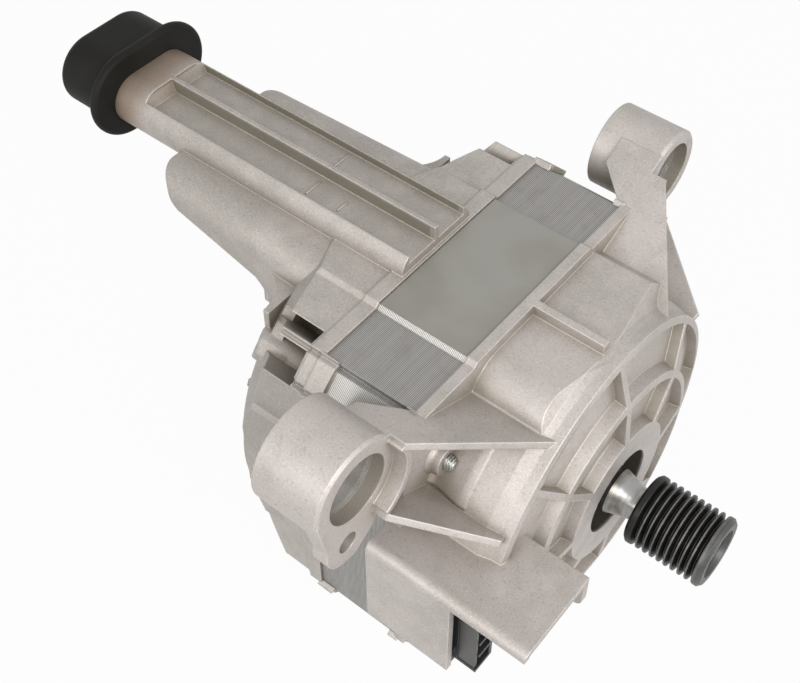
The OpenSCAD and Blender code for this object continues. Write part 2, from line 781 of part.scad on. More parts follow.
// Vent windows between the flange and the back ring, with a fin standing in each
module rear_windows() {
    front = core_rear - 4.8;
    for (half = [0, 1], side = [0, 1]) mirror([0, side, 0]) mirror([0, 0, half])
        for (w = [[39.8, 48.1], [49.9, 53.2]])
            turned(w[0], w[1] - w[0]) polygon([[rear_cavity_r - 1, front],
                [core_half + 30, front], [core_half + 30, ring_front - 4.4], [core_half + 3.2, ring_front - 4.4],
                [core_half + 3.2, ring_front - 0.5], [rear_cavity_r - 1, ring_front - 0.5]]);
}

screw_column_r = 6;
head_floor = core_rear - 9;

// Columns that carry the screw heads, level with the back ring
module screw_columns() {
    intersection() {
        at_screws() rotate([0, 90, 0]) translate([0, 0, shield_back + 0.6])
            cylinder(r = screw_column_r, h = core_rear - shield_back - 0.6);
        turned() polygon([[0, core_rear + past], [70, core_rear + past], [70, core_rear - 6],
                          [column_top_r, ring_front + 4], [column_top_r, shield_back + 2],
                          [column_top_r - 2, shield_back], [0, shield_back]]);
    }
}
column_top_r = core_half + 4.4;

// Web under the arm: a bar with rounded shoulders that narrows towards its end
web_taper = 1.8;
web_back = core_rear - web_length;
web_root = core_rear - 4;
module web_bar(turn) {
    translate([web_root, 0, 0]) rotate([0, 0, turn]) translate([-web_root, 0, 0])
        across(web_back - 5, core_rear + 5) translate([0, web_z - 40]) rounded_box_2d(2 * web_half, 80, 8.5);
}

module web_plan() {
    half = web_half - 2.4;
    polygon([[web_root, -web_half - 5], [web_back + 9, -web_half - 5], [web_back + 9, -half],
             [web_back, 9 - half], [web_back, half - 9], [web_back + 9, half], [web_back + 9, web_half + 5],
             [web_root, web_half + 5]]);
    for (s = [-1, 1]) translate([web_back + 9, s * (half - 9)]) circle(9);
}

module web_side() {
    drop = web_z - web_rise;
    polygon([[web_root, web_z + 1], [web_back, web_z + 1], [web_back, drop - 5.2], [web_back + 9, drop - 9.7],
             [web_back + 42, drop - 16.7], [shield_back - 5, drop - 26.7], [shield_back + 3, drop - 38.7],
             [web_root, drop - 38.7]]);
}

module arm_web() {
    difference() {
        intersection() {
            linear_extrude(2 * web_z) web_plan();
            rotate([90, 0, 0]) linear_extrude(4 * web_half, center = true) web_side();
            web_bar(web_taper);
            web_bar(-web_taper);
        }
        // Underside pockets that leave two side walls, a middle rib and cross ribs
        for (s = [-1, 1], i = [0 : 2])
            translate([web_back + 7 + i * 18.6, s > 0 ? 2 : -web_half + 7, 0])
                cube([16, web_half - 9, web_z - 8]);
    }
    // Fillets where the web runs out into the shield
    for (s = [-1, 1]) translate([shield_back + 2, s * (web_half - 1.6), web_z - 26])
        mirror([1, 0, 0]) mirror([0, s > 0 ? 0 : 1, 0]) linear_extrude(16) difference() {
            square([15, 13]);
            translate([15, 13]) circle(13);
        }
}

module support_arm() {
    difference() {
        across(arm_end, core_rear) translate([0, arm_z]) oval_2d(arm_flat, arm_r);
        for (s = [-1, 1]) translate([0, s > 0 ? channel_half : -channel_rib / 2, arm_z + arm_r])
            rotate([90, 0, 0]) linear_extrude(channel_half - channel_rib / 2) polygon([
                [stub_start, past], [stub_start, -1], [stub_start + 1.4, -channel_depth],
                [core_rear + past, -channel_depth], [core_rear + past, past]]);
    }
}

// Ribs on the back wall round the bearing seat
module back_ribs() {
    around(face_rib_count, 22.5) translate([shield_back - 2.4, -1.2, 18]) cube([3, 2.4, foot_z - 24]);
    turned() polygon([[0, shield_back + 1], [0, shield_back - 3.4], [rear_bearing_r + 2, shield_back - 3.4],
                      [rear_bearing_r + 4, shield_back - 2.4], [rear_bearing_r + 4, shield_back + 1]]);
}

module rear_end_shield() {
    flange_back = core_rear - flange_t - 1.4;
    color(casting) difference() {
        union() {
            across(flange_back, core_rear + lip) polygon(stack_outline(lip_height));
            corner_lugs(core_rear, core_rear + rear_lug_length, 1.7);
            rear_corners();
            rear_bowl();
            screw_columns();
            back_ribs();
            difference() {
                arm_web();
                rod(0, 0, shield_back - past, core_rear + past, rear_cavity_r + 1);
            }
            support_arm();
        }
        // Room for the windings and the fan
        turned() polygon([[0, core_rear + past], [rear_cavity_r, core_rear + past],
                          [rear_cavity_r, ring_front - 1], [rear_cavity_r - 5, shield_back + rear_wall],
                          [rear_bearing_r + 4, shield_back + rear_wall],
                          [rear_bearing_r + 4, rear_bearing_x + rear_bearing_w],
                          [0, rear_bearing_x + rear_bearing_w]]);
        difference() {
            rear_windows();
            screw_columns();
        }
        across(core_rear, core_rear + rear_lug_length + past) polygon(stack_outline(seat_gap));
        rod(0, 0, rear_seat_floor, rear_bearing_x + rear_bearing_w + past, rear_bearing_r + press_gap);
        rod(0, 0, rear_seat_floor - 2.2, rear_seat_floor + past, shaft_rear_r + 3);
        at_screws() rotate([0, 90, 0]) translate([0, 0, shield_back - past])
            cylinder(r = screw_r + seat_gap, h = rear_depth + 3 * past);
        at_screws() rotate([0, 90, 0]) translate([0, 0, shield_back - past])
            cylinder(r = head_r + loose_gap, h = head_floor - shield_back + past);
    }
}

// Rubber boot over the plain end of the arm

// A profile of (radius, x) swept round a flat-sided oval that is straight for 2 * half
module oval_turned(half) {
    for (s = [-1, 1]) translate([0, s * half, 0]) turned() children();
    for (s = [0, 1]) mirror([0, 0, s])
        rotate([90, 0, 0]) linear_extrude(2 * half, center = true) mirror([1, -1, 0]) children();
}

module arm_boot() {
    mouth = stub_start - 11.2;
    back = mouth - boot_lip_t - boot_length;
    r = arm_r + boot_wall;
    edge = 3;
    lip_edge = boot_lip_t / 2 - 0.2;
    color(rubber) difference() {
        translate([0, 0, arm_z + boot_rise]) {
            oval_turned(arm_flat) {
                translate([0, back + edge]) square([r, boot_length]);
                translate([0, back]) square([r - edge, edge + 1]);
                translate([r - edge, back + edge]) circle(edge);
            }
            // Lip with a rounded edge
            oval_turned(arm_flat + 1.5) {
                translate([0, mouth - boot_lip_t]) square([r + boot_lip - lip_edge, boot_lip_t]);
                translate([r + boot_lip - lip_edge - 0.1, mouth - boot_lip_t + lip_edge])
                    square([lip_edge + 0.1, boot_lip_t - 2 * lip_edge]);
                for (x = [mouth - boot_lip_t + lip_edge, mouth - lip_edge])
                    translate([r + boot_lip - lip_edge, x]) circle(lip_edge);
            }
        }
        across(arm_end - loose_gap, mouth + past) translate([0, arm_z])
            oval_2d(arm_flat, arm_r + seat_gap);
    }
}

// Screws

head_r = 4.1;
head_h = 4;
module through_screws() {
    color([0.75, 0.76, 0.74]) at_screws() rotate([0, 90, 0]) difference() {
        union() {
            translate([0, 0, head_floor - head_h]) cylinder(r = head_r, h = head_h);
            translate([0, 0, head_floor - weld])
                cylinder(r = screw_r, h = screw_boss_front + screw_tip - head_floor + weld - 0.8);
            translate([0, 0, screw_boss_front + screw_tip - 0.8])
                cylinder(r1 = screw_r, r2 = screw_r - 0.7, h = 0.8);
        }
        translate([0, 0, head_floor - head_h - past]) cylinder(r = 2.4, h = 2.2 + past, $fn = 6);
    }
}

// Ball bearings, drawn from x = 0 for a width w

function pitch_r(inner, outer) = (inner + outer) / 2;
land = 0.55;
groove_gap = 0.06;

module bearing_outer(inner, outer, w) {
    p = pitch_r(inner, outer);
    turned() difference() {
        translate([p + land * ball_r, 0]) square([outer - p - land * ball_r, w]);
        translate([p, w / 2]) circle(ball_r + groove_gap);
    }
}

module bearing_inner(inner, outer, w) {
    p = pitch_r(inner, outer);
    turned() difference() {
        translate([inner, 0]) square([p - land * ball_r - inner, w]);
        translate([p, w / 2]) circle(ball_r + groove_gap);
    }
}

module bearing_seals(inner, outer, w) {
    p = pitch_r(inner, outer);
    for (x = [0.3, w - 0.9]) turned() translate([p - land * ball_r + 0.2, x])
        square([2 * land * ball_r - 0.22, 0.6]);
}

module bearing_balls(inner, outer, w, count) {
    around(count) translate([w / 2, 0, pitch_r(inner, outer)]) sphere(r = ball_r);
}

module bearing_cage(inner, outer, w, count) {
    p = pitch_r(inner, outer);
    difference() {
        turned() translate([p - 0.9, w / 2 - 1.254 * ball_r]) square([1.8, 2.508 * ball_r]);
        around(count) translate([w / 2, 0, p]) sphere(r = ball_r + 0.08);
    }
}

front_balls = 8;
rear_balls = 7;
front_inner = shaft_front_r + press_gap;
rear_inner = shaft_rear_r + press_gap;

module front_bearing_outer_ring() {
    color(steel) translate([front_bearing_x, 0, 0])
        bearing_outer(front_inner, front_bearing_r, front_bearing_w);
}

module front_bearing_inner_ring() {
    color(steel) translate([front_bearing_x, 0, 0])
        bearing_inner(front_inner, front_bearing_r, front_bearing_w);
}

module front_bearing_seals() {
    color(rubber) translate([front_bearing_x, 0, 0])
        bearing_seals(front_inner, front_bearing_r, front_bearing_w);
}

module front_bearing_balls() {
    color(steel) translate([front_bearing_x, 0, 0])
        bearing_balls(front_inner, front_bearing_r, front_bearing_w, front_balls);
}

module front_bearing_cage() {
    color(steel) translate([front_bearing_x, 0, 0])
        bearing_cage(front_inner, front_bearing_r, front_bearing_w, front_balls);
}

module rear_bearing_outer_ring() {
    color(steel) translate([rear_bearing_x, 0, 0])
        bearing_outer(rear_inner, rear_bearing_r, rear_bearing_w);
}

module rear_bearing_inner_ring() {
    color(steel) translate([rear_bearing_x, 0, 0])
        bearing_inner(rear_inner, rear_bearing_r, rear_bearing_w);
}

module rear_bearing_seals() {
    color(rubber) translate([rear_bearing_x, 0, 0])
        bearing_seals(rear_inner, rear_bearing_r, rear_bearing_w);
}

module rear_bearing_balls() {
    color(steel) translate([rear_bearing_x, 0, 0])
        bearing_balls(rear_inner, rear_bearing_r, rear_bearing_w, rear_balls);
}

module rear_bearing_cage() {
    color(steel) translate([rear_bearing_x, 0, 0])
        bearing_cage(rear_inner, rear_bearing_r, rear_bearing_w, rear_balls);
}

// Wavy spring washer behind the rear bearing
module preload_washer() {
    steps = 60;
    waves = 3;
    thick = 0.4;
    swing = (washer_space - thick) / 2 - 0.05;
    r_in = rear_bearing_r - 3.6;
    r_out = rear_bearing_r - 0.5;
    middle = rear_seat_floor + washer_space / 2;
    points = [for (i = [0 : steps - 1]) let (a = i * 360 / steps, x = middle + swing * sin(waves * a))
        each [for (c = [[r_in, -0.5], [r_out, -0.5], [r_out, 0.5], [r_in, 0.5]])
            [x + c[1] * thick, c[0] * cos(a), c[0] * sin(a)]]];
    faces = [for (i = [0 : steps - 1], k = [0 : 3])
        let (p = 4 * i + k, q = 4 * i + (k + 1) % 4, n = 4 * steps)
            each [[p, q, (p + 4) % n], [q, (q + 4) % n, (p + 4) % n]]];
    color(steel) polyhedron(points, faces);
}

// Rotor

module shaft() {
    rear_end = rear_seat_floor - 1;
    rear_step = rear_bearing_x + rear_bearing_w;
    collar_front = -hub_face + 2.6;
    pulley_back = -groove_count / 2 * rib_pitch - inner_flange + 0.2;
    tip = groove_count / 2 * rib_pitch + outer_flange - 1.4;
    color([0.8, 0.8, 0.82]) turned() polygon([
        [0, rear_end], [shaft_rear_r - 0.6, rear_end], [shaft_rear_r, rear_end + 0.6],
        [shaft_rear_r, rear_step], [shaft_core_r, rear_step], [shaft_core_r, front_bearing_x],
        [shaft_front_r, front_bearing_x], [shaft_front_r, collar_front - 3.4],
        for (k = [0 : 6]) let (t = k / 6)
            [pulley_seat_r + 0.3 + (shaft_front_r - pulley_seat_r - 0.3) * pow(1 - t, 1.7),
             collar_front - 3 + t * (pulley_back - 0.3 - collar_front + 3)],
        [pulley_seat_r, pulley_back - 0.2], [pulley_seat_r, tip - 0.6], [pulley_seat_r - 0.6, tip],
        [1.2, tip], [0, tip - 1.2]]);
}

module rotor_core() {
    color(steel) across(core_rear, core_front) difference() {
        circle(magnet_inner_r - press_gap);
        circle(shaft_core_r + press_gap);
        for (i = [0 : magnet_count - 1]) rotate((i + 0.5) * 360 / magnet_count)
            translate([(shaft_core_r + magnet_inner_r) / 2, 0]) circle(3.2);
    }
}

module rotor_magnets() {
    sweep = magnet_share * 360 / magnet_count;
    color([0.3, 0.3, 0.32]) for (i = [0 : magnet_count - 1])
        turned(i * 360 / magnet_count - sweep / 2, sweep)
            translate([magnet_inner_r, core_rear + 0.5]) square([magnet_t, core_length - 1]);
}

// Fan with curved blades behind the rear end of the windings
fan_front = core_rear - coil_end - 1.6;
fan_back = shield_back + rear_wall + 2.2;
module cooling_fan() {
    disc = 1.6;
    hub = 13;
    color([0.2, 0.2, 0.22]) difference() {
        union() {
            across(fan_front - disc, fan_front) circle(fan_r);
            across(fan_back + 2.4, fan_front) circle(hub);
            across(fan_back, fan_front - disc + 0.1) intersection() {
                ring_2d(fan_r, rear_bearing_r + 6);
                for (i = [0 : blade_count - 1]) rotate(i * 360 / blade_count)
                    translate([fan_r * 0.72, fan_r * 0.42]) ring_2d(fan_r * 0.5, fan_r * 0.5 - 1.5);
            }
        }
        across(fan_back - past, fan_front + past) circle(shaft_core_r + press_gap);
        across(fan_back - past, rear_bearing_x + rear_bearing_w + 1.2) circle(hub + past);
    }
}

// Belt pulley with its V-grooves
module belt_pulley() {
    half = groove_count / 2 * rib_pitch;
    tip_flat = 0.5;
    root = 0.35;
    inner = -half - inner_flange;
    outer = half + outer_flange;
    grooves = [for (i = [0 : groove_count - 1]) let (x = (i - (groove_count - 1) / 2) * rib_pitch)
        each [[pulley_r, x - rib_pitch / 2 + tip_flat / 2],
              [pulley_r - groove_depth, x - root / 2],
              [pulley_r - groove_depth, x + root / 2],
              [pulley_r, x + rib_pitch / 2 - tip_flat / 2]]];
    color(rubber) turned() polygon(concat(
        [[pulley_seat_r + press_gap, inner + 0.4], [pulley_r - 2.6, inner], [pulley_r - 0.7, inner],
         [pulley_r + 0.1, inner + 0.8], [pulley_r + 0.1, -half - 0.1]],
        grooves,
        [[pulley_r + 0.1, half + 0.1], [pulley_r + 0.1, outer - 1], [pulley_r - 0.9, outer],
         [pulley_r - 3.2, outer], [pulley_r - 3.9, outer - 1.9], [pulley_seat_r + press_gap, outer - 1.9]]));
}

front_end_shield();
rear_end_shield();
arm_boot();
stator_core();
blank_label();
front_slot_insulator();
rear_slot_insulator();
stator_coils();
thermal_cutout();
phase_leads();
connector_housing();
connector_side_plate();
connector_terminals();
through_screws();
front_bearing_outer_ring();
front_bearing_seals();
rear_bearing_outer_ring();
rear_bearing_seals();
preload_washer();
shaft();
rotor_core();
rotor_magnets();
cooling_fan();
belt_pulley();
front_bearing_inner_ring();
rear_bearing_inner_ring();
front_bearing_cage();
front_bearing_balls();
rear_bearing_cage();
rear_bearing_balls();
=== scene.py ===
"""Looks of a belt-drive washing machine motor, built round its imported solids."""

import json
import logging
import math
from dataclasses import dataclass, field
from enum import Enum

import bmesh
import bpy
from mathutils import Matrix, Vector

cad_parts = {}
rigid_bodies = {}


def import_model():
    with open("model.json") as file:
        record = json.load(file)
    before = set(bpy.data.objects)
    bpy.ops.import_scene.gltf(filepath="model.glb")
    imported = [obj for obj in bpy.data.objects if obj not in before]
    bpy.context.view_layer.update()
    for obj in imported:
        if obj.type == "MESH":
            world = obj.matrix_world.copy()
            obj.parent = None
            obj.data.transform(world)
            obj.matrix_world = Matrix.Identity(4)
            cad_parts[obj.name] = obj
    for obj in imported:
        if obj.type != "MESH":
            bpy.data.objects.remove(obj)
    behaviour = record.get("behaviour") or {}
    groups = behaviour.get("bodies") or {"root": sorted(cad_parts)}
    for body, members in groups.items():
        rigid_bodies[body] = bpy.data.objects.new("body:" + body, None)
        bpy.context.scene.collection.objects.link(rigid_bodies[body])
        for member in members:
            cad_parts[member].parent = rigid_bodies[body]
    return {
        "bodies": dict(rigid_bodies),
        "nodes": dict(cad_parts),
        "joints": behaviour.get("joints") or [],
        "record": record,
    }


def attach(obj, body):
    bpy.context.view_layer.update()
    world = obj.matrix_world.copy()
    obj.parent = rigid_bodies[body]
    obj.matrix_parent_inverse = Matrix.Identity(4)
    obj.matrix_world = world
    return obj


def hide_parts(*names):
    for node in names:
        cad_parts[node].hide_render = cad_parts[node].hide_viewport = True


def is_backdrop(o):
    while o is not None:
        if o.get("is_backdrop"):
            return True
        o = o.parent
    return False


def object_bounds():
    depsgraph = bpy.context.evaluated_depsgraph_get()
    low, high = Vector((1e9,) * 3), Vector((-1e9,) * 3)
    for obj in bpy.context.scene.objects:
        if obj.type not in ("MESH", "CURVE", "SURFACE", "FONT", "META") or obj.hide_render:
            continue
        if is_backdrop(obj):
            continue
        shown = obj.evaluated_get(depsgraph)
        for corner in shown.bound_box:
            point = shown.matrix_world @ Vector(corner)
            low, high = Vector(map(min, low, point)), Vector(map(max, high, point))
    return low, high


LOG = logging.getLogger("motor")
# Vertices closer than this are one, in metres
WELD = 1e-7
# The floor lies this far below the motor, in metres
FLOOR_GAP = 0.0002

Colour = tuple[float, float, float]
Point = tuple[float, float, float]
Pair = tuple[float, float]
Value = "Sock | float"


class Body(str, Enum):
    """Rigid bodies that new pieces ride on."""

    STATOR = "stator_frame"


class Slot(str, Enum):
    """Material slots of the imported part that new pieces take."""

    CASTING = "cast_aluminium"
    ZINC = "zinc_screw"


class Axis(Enum):
    """Directions of the part's frame, as indices."""

    X = 0
    Y = 1
    Z = 2


class Sock:
    """A shader value that Python's operators turn into Math nodes."""

    def __init__(self, graph: "Graph", socket: bpy.types.NodeSocket) -> None:
        """Keeps the graph and the socket.

        Args:
            graph: The graph the socket belongs to.
            socket: The output socket that gives the value.
        """
        self.graph = graph
        self.socket = socket

    def __add__(self, other: Value) -> "Sock":
        """Sum of two values."""
        return self.graph.math("ADD", self, other)

    __radd__ = __add__

    def __sub__(self, other: Value) -> "Sock":
        """This value less another."""
        return self.graph.math("SUBTRACT", self, other)

    def __rsub__(self, other: Value) -> "Sock":
        """Another value less this one."""
        return self.graph.math("SUBTRACT", other, self)

    def __mul__(self, other: Value) -> "Sock":
        """Product of two values."""
        return self.graph.math("MULTIPLY", self, other)

    __rmul__ = __mul__

    def __truediv__(self, other: Value) -> "Sock":
        """This value divided by another."""
        return self.graph.math("DIVIDE", self, other)

    def __gt__(self, other: Value) -> "Sock":
        """1 where this value is the larger one."""
        return self.graph.math("GREATER_THAN", self, other)

    def __lt__(self, other: Value) -> "Sock":
        """1 where this value is the smaller one."""
        return self.graph.math("LESS_THAN", self, other)


class Graph:
    """Node tree of one material, with a Principled shader at its end."""

    def __init__(self, name: str) -> None:
        """Makes the material.

        Args:
            name: The material's name.
        """
        self.material = bpy.data.materials.new(name)
        self.material.use_nodes = True
        self.tree = self.material.node_tree
        self.tree.nodes.clear()
        self.shader = self.tree.nodes.new("ShaderNodeBsdfPrincipled")
        out = self.tree.nodes.new("ShaderNodeOutputMaterial")
        self.tree.links.new(self.shader.outputs["BSDF"], out.inputs["Surface"])

    @classmethod
    def around(cls, tree: bpy.types.NodeTree) -> "Graph":
        """A graph that works on a node tree which exists already.

        Args:
            tree: The node tree.

        Returns:
            The graph.
        """
        graph = cls.__new__(cls)
        graph.tree = tree
        return graph

    def put(self, socket: bpy.types.NodeSocket, value: object) -> None:
        """Links or sets one input socket.

        Args:
            socket: The input socket.
            value: A Sock to link, or a constant.
        """
        if isinstance(value, Sock):
            self.tree.links.new(value.socket, socket)
        else:
            socket.default_value = value

    def node(self, kind: str, inputs: dict[object, object] | None = None, out: object = 0,
             **settings: object) -> Sock:
        """Adds one node of any type.

        Args:
            kind: Type of the node, without the ShaderNode prefix.
            inputs: Values or links by input name or index.
            out: Name or index of the output that is returned.
            settings: The node's own properties, set first.

        Returns:
            The chosen output.
        """
        made = self.tree.nodes.new("ShaderNode" + kind)
        for key, value in settings.items():
            setattr(made, key, value)
        for key, value in (inputs or {}).items():
            self.put(made.inputs[key], value)
        return Sock(self, made.outputs[out])

    def math(self, operation: str, a: Value, b: Value = 0.0) -> Sock:
        """One Math node.

        Args:
            operation: The node's operation.
            a: First value.
            b: Second value.

        Returns:
            The result.
        """
        return self.node("Math", {0: a, 1: b}, operation=operation)

    def vector(self, operation: str, a: object, b: object = (0.0, 0.0, 0.0), out: str = "Vector") -> Sock:
        """One Vector Math node.

        Args:
            operation: The node's operation.
            a: First vector.
            b: Second vector.
            out: Name of the output that is returned.

        Returns:
            The result.
        """
        return self.node("VectorMath", {0: a, 1: b}, out=out, operation=operation)

    def mix(self, factor: Value, a: object, b: object) -> Sock:
        """Mixes two colours.

        Args:
            factor: Share of the second colour.
            a: First colour, a Sock or three numbers.
            b: Second colour.

        Returns:
            The mixed colour.
        """
        a = a if isinstance(a, Sock) else (*a, 1.0)
        b = b if isinstance(b, Sock) else (*b, 1.0)
        return self.node("Mix", {"Factor": factor, 6: a, 7: b}, out=2, data_type="RGBA")

    def place(self) -> Sock:
        """The surface point in the part's frame, in metres."""
        return self.node("TexCoord", out="Object")

    def axis(self, which: Axis) -> Sock:
        """One coordinate of the surface point, in metres."""
        return self.node("SeparateXYZ", {0: self.place()}, out=which.value)

    def noise(self, per_metre: float, detail: float = 2.0, roughness: float = 0.5,
              place: Sock | None = None) -> Sock:
        """Smooth noise from 0 to 1.

        Args:
            per_metre: Number of cells in a metre.
            detail: Octaves.
            roughness: Strength of the finer octaves.
            place: The point to read it at, the surface point if left out.

        Returns:
            The noise value.
        """
        return self.node("TexNoise", {"Vector": place or self.place(), "Scale": per_metre,
                                      "Detail": detail, "Roughness": roughness}, out="Fac")

    def stretched(self, scale: Point) -> Sock:
        """The surface point with each axis scaled."""
        return self.vector("MULTIPLY", self.place(), scale)

    def ramp(self, value: Sock, low: float, high: float) -> Sock:
        """Rises from 0 to 1 while the value goes from low to high."""
        return self.node("MapRange", {"Value": value, 1: low, 2: high}, interpolation_type="SMOOTHSTEP")

    def edges(self, radius: float) -> tuple[Sock, Sock]:
        """Rounded edges.

        Args:
            radius: Radius of the rounding, in metres.

        Returns:
            The rounded normal, and a mask that rises to 1 on edges.
        """
        soft = self.node("Bevel", {"Radius": radius}, samples=5)
        hard = self.node("NewGeometry", out="Normal")
        return soft, 1.0 - self.vector("DOT_PRODUCT", soft, hard, out="Value")

    def open_sky(self, distance: float) -> Sock:
        """How open a place is: 1 on open faces, less in corners and pockets.

        Args:
            distance: How far away another face still counts, in metres.

        Returns:
            The openness from 0 to 1.
        """
        return self.node("AmbientOcclusion", {"Distance": distance}, out="AO", samples=5)

    def bump(self, height: Sock, distance: float, strength: float = 1.0,
             normal: Sock | None = None) -> Sock:
        """A Bump node.

        Args:
            height: Height from 0 to 1.
            distance: What a height of 1 means, in metres.
            strength: Share of the effect.
            normal: The normal it starts from.

        Returns:
            The bumped normal.
        """
        inputs: dict[object, object] = {"Height": height, "Distance": distance, "Strength": strength}
        if normal is not None:
            inputs["Normal"] = normal
        return self.node("Bump", inputs)

    def finish(self, **values: object) -> bpy.types.Material:
        """Sets the shader's sockets.

        Args:
            values: Socket names, with _ for a space, and what goes in them.

        Returns:
            The finished material.
        """
        for key, value in values.items():
            socket = self.shader.inputs[key.replace("_", " ")]
            if not isinstance(value, Sock) and isinstance(value, tuple) and len(value) == 3:
                value = (*value, 1.0)
            self.put(socket, value)
        return self.material


@dataclass(frozen=True)
class Bore:
    """A machined hole along the shaft's direction."""

    centre: Pair
    radius: float


@dataclass(frozen=True)
class CastAluminium:
    """Die-cast aluminium: sandy skin, painted shade in the corners, edges worn bright with a painted
    highlight, bores machined.
    """

    name: str = "cast_aluminium_skin"
    colour: Colour = (0.53, 0.485, 0.46)
    shade: Colour = (0.445, 0.41, 0.38)
    # Also the colour of the painted shade in corners and pockets
    stain: Colour = (0.24, 0.21, 0.155)
    bright: Colour = (0.84, 0.79, 0.74)
    rust: Colour = (0.30, 0.20, 0.13)
    cut: Colour = (0.60, 0.60, 0.58)
    hole_dark: Colour = (0.045, 0.036, 0.022)
    wall_shade_olive: Colour = (0.19, 0.17, 0.115)
    bore_step: float = -0.0622
    bore_margin: float = 0.00004
    tide_start: float = -0.198
    channel_end: float = -0.0935
    channel_start: float = -0.1985
    channel_half: float = 0.0127
    channel_floor: float = 0.0626
    channel_top: float = 0.0674
    hub_hole: float = 0.0143
    hub_front: float = 0.0217
    grain: float = 2600.0
    edge: float = 0.0006
    bores: tuple[Bore, ...] = (Bore((-0.0748, 0.0546), 0.0105), Bore((0.0748, 0.0546), 0.0098))

    def machined(self, g: Graph) -> Sock:
        """Mask of the machined bores.

        Args:
            g: The material's graph.

        Returns:
            1 on the bores' walls, 0 elsewhere.
        """
        inside: Sock | None = None
        for bore in self.bores:
            across = g.vector("MULTIPLY", g.vector("SUBTRACT", g.place(), (0.0, *bore.centre)),
                              (0.0, 1.0, 1.0))
            here = g.vector("LENGTH", across, out="Value") < bore.radius + self.bore_margin
            inside = here if inside is None else inside + here
        return inside

    def build(self) -> bpy.types.Material:
        """Builds the material.

        Returns:
            The finished material.
        """
        g = Graph(self.name)
        sand = g.noise(self.grain, 2.0, 0.6)
        fleck = g.noise(self.grain * 0.45, 1.0)
        mottle = g.noise(150.0, 3.0)
        cloud = g.noise(24.0, 2.0)
        soft, edge = g.edges(self.edge)
        facing = g.node("NewGeometry", out="Normal")
        upward = g.ramp(g.node("SeparateXYZ", {0: facing}, out=2), 0.7, 0.95)
        sideways = g.ramp(g.math("ABSOLUTE", g.node("SeparateXYZ", {0: facing}, out=1)), 0.6, 0.85)
        # Painted shade: corners, pockets and recesses darkened towards the stain colour, less on faces
        # that look up
        closed = g.ramp(1.0 - g.open_sky(0.010), 0.14, 0.75) * (1.0 - upward * 0.45)
        worn_and_highlight = g.ramp(edge, 0.02, 0.22) * (1.0 - closed * 0.8)
        tone = g.mix(g.ramp(mottle * 0.4 + cloud * 0.6, 0.38, 0.6), self.shade, self.colour)
        sandy = g.mix(g.ramp(sand, 0.5, 0.72) * 0.4, tone, self.bright)
        pitted = g.mix(g.ramp(fleck, 0.58, 0.72) * 0.26, sandy, self.stain)
        stained_and_shaded = g.mix(closed * 0.85, pitted, self.stain)
        # Brown tide mark on the arm just in front of the rubber boot
        tide = g.ramp(self.tide_start - g.axis(Axis.X) + mottle * 0.008, 0.0, 0.009)
        stained_and_shaded = g.mix(tide * 0.65, stained_and_shaded, self.rust)
        # Painted shade: the channels' side walls are darkened olive, unlike their floors
        inside = ((g.axis(Axis.X) < self.channel_end) * (g.axis(Axis.X) > self.channel_start)
                  * (g.math("ABSOLUTE", g.axis(Axis.Y)) < self.channel_half)
                  * g.ramp(g.axis(Axis.Z), self.channel_top, self.channel_top - 0.0012)
                  * (g.axis(Axis.Z) > self.channel_floor))
        stained_and_shaded = g.mix(inside * sideways * 0.6, stained_and_shaded, self.wall_shade_olive)
        # Edges lightened: partly real wear, partly a painted highlight, weaker in the painted shade
        base = g.mix(worn_and_highlight * 0.7, stained_and_shaded, self.bright)
        # Darkened deeper inside the hole round the shaft
        hub = g.vector("LENGTH", g.vector("MULTIPLY", g.place(), (0.0, 1.0, 1.0)), out="Value")
        depth = -self.hub_front - g.axis(Axis.X) - mottle * 0.0006
        hole_darkening = (hub < self.hub_hole) * g.ramp(depth, 0.0, 0.0008)
        base = g.mix(hole_darkening * 0.85, base, self.hole_dark)
        # The bores are machined in their rear part, behind a bright edge, and as cast in front of it
        bore = self.machined(g)
        deep = g.ramp(self.bore_step - g.axis(Axis.X), 0.0, 0.0002)
        lip = g.ramp(g.math("ABSOLUTE", g.axis(Axis.X) - self.bore_step + 0.0008), 0.0009, 0.0004)
        base = g.mix(bore * (1.0 - deep) * 0.6, base, self.stain)
        turned = bore * deep
        lines = g.noise(1.0, 2.0, 0.6, g.stretched((5200.0, 90.0, 90.0)))
        base = g.mix(turned * (0.55 + lines * 0.4), base, self.cut)
        base = g.mix(turned * lip * 0.8, base, self.bright)
        normal = g.bump(sand * (1.0 - turned) + mottle * 0.5 + lines * turned * 0.3, 0.0001, 0.6, soft)
        rough = (0.46 + sand * 0.14 - worn_and_highlight * 0.14) * (1.0 - turned) + turned * 0.27
        return g.finish(Base_Color=base, Metallic=0.5 + turned * 0.4, Roughness=rough, Normal=normal)


@dataclass(frozen=True)
class PlainMetal:
    """A turned, ground or plated metal with fine lines round the shaft axis."""

    name: str
    colour: Colour
    roughness: float
    lines: float = 9000.0
    edge: float = 0.0002
    metallic: float = 1.0
    stain: float = 0.8

    def build(self) -> bpy.types.Material:
        """Builds the material.

        Returns:
            The finished material.
        """
        g = Graph(self.name)
        streak = g.noise(1.0, 3.0, 0.6, g.stretched((self.lines, 140.0, 140.0)))
        stain = g.noise(220.0, 3.0)
        soft, edge = g.edges(self.edge)
        dark = tuple(c * self.stain for c in self.colour)
        light = tuple(min(1.0, c * 1.5 + 0.02) for c in self.colour)
        base = g.mix(g.ramp(stain * 0.6 + streak * 0.4, 0.35, 0.65), dark, self.colour)
        base = g.mix(g.ramp(edge, 0.02, 0.3) * 0.5, base, light)
        return g.finish(Base_Color=base, Metallic=self.metallic,
                        Roughness=self.roughness + streak * 0.12 + stain * 0.06 - 0.08,
                        Normal=g.bump(streak, 0.00001, 0.5, soft))


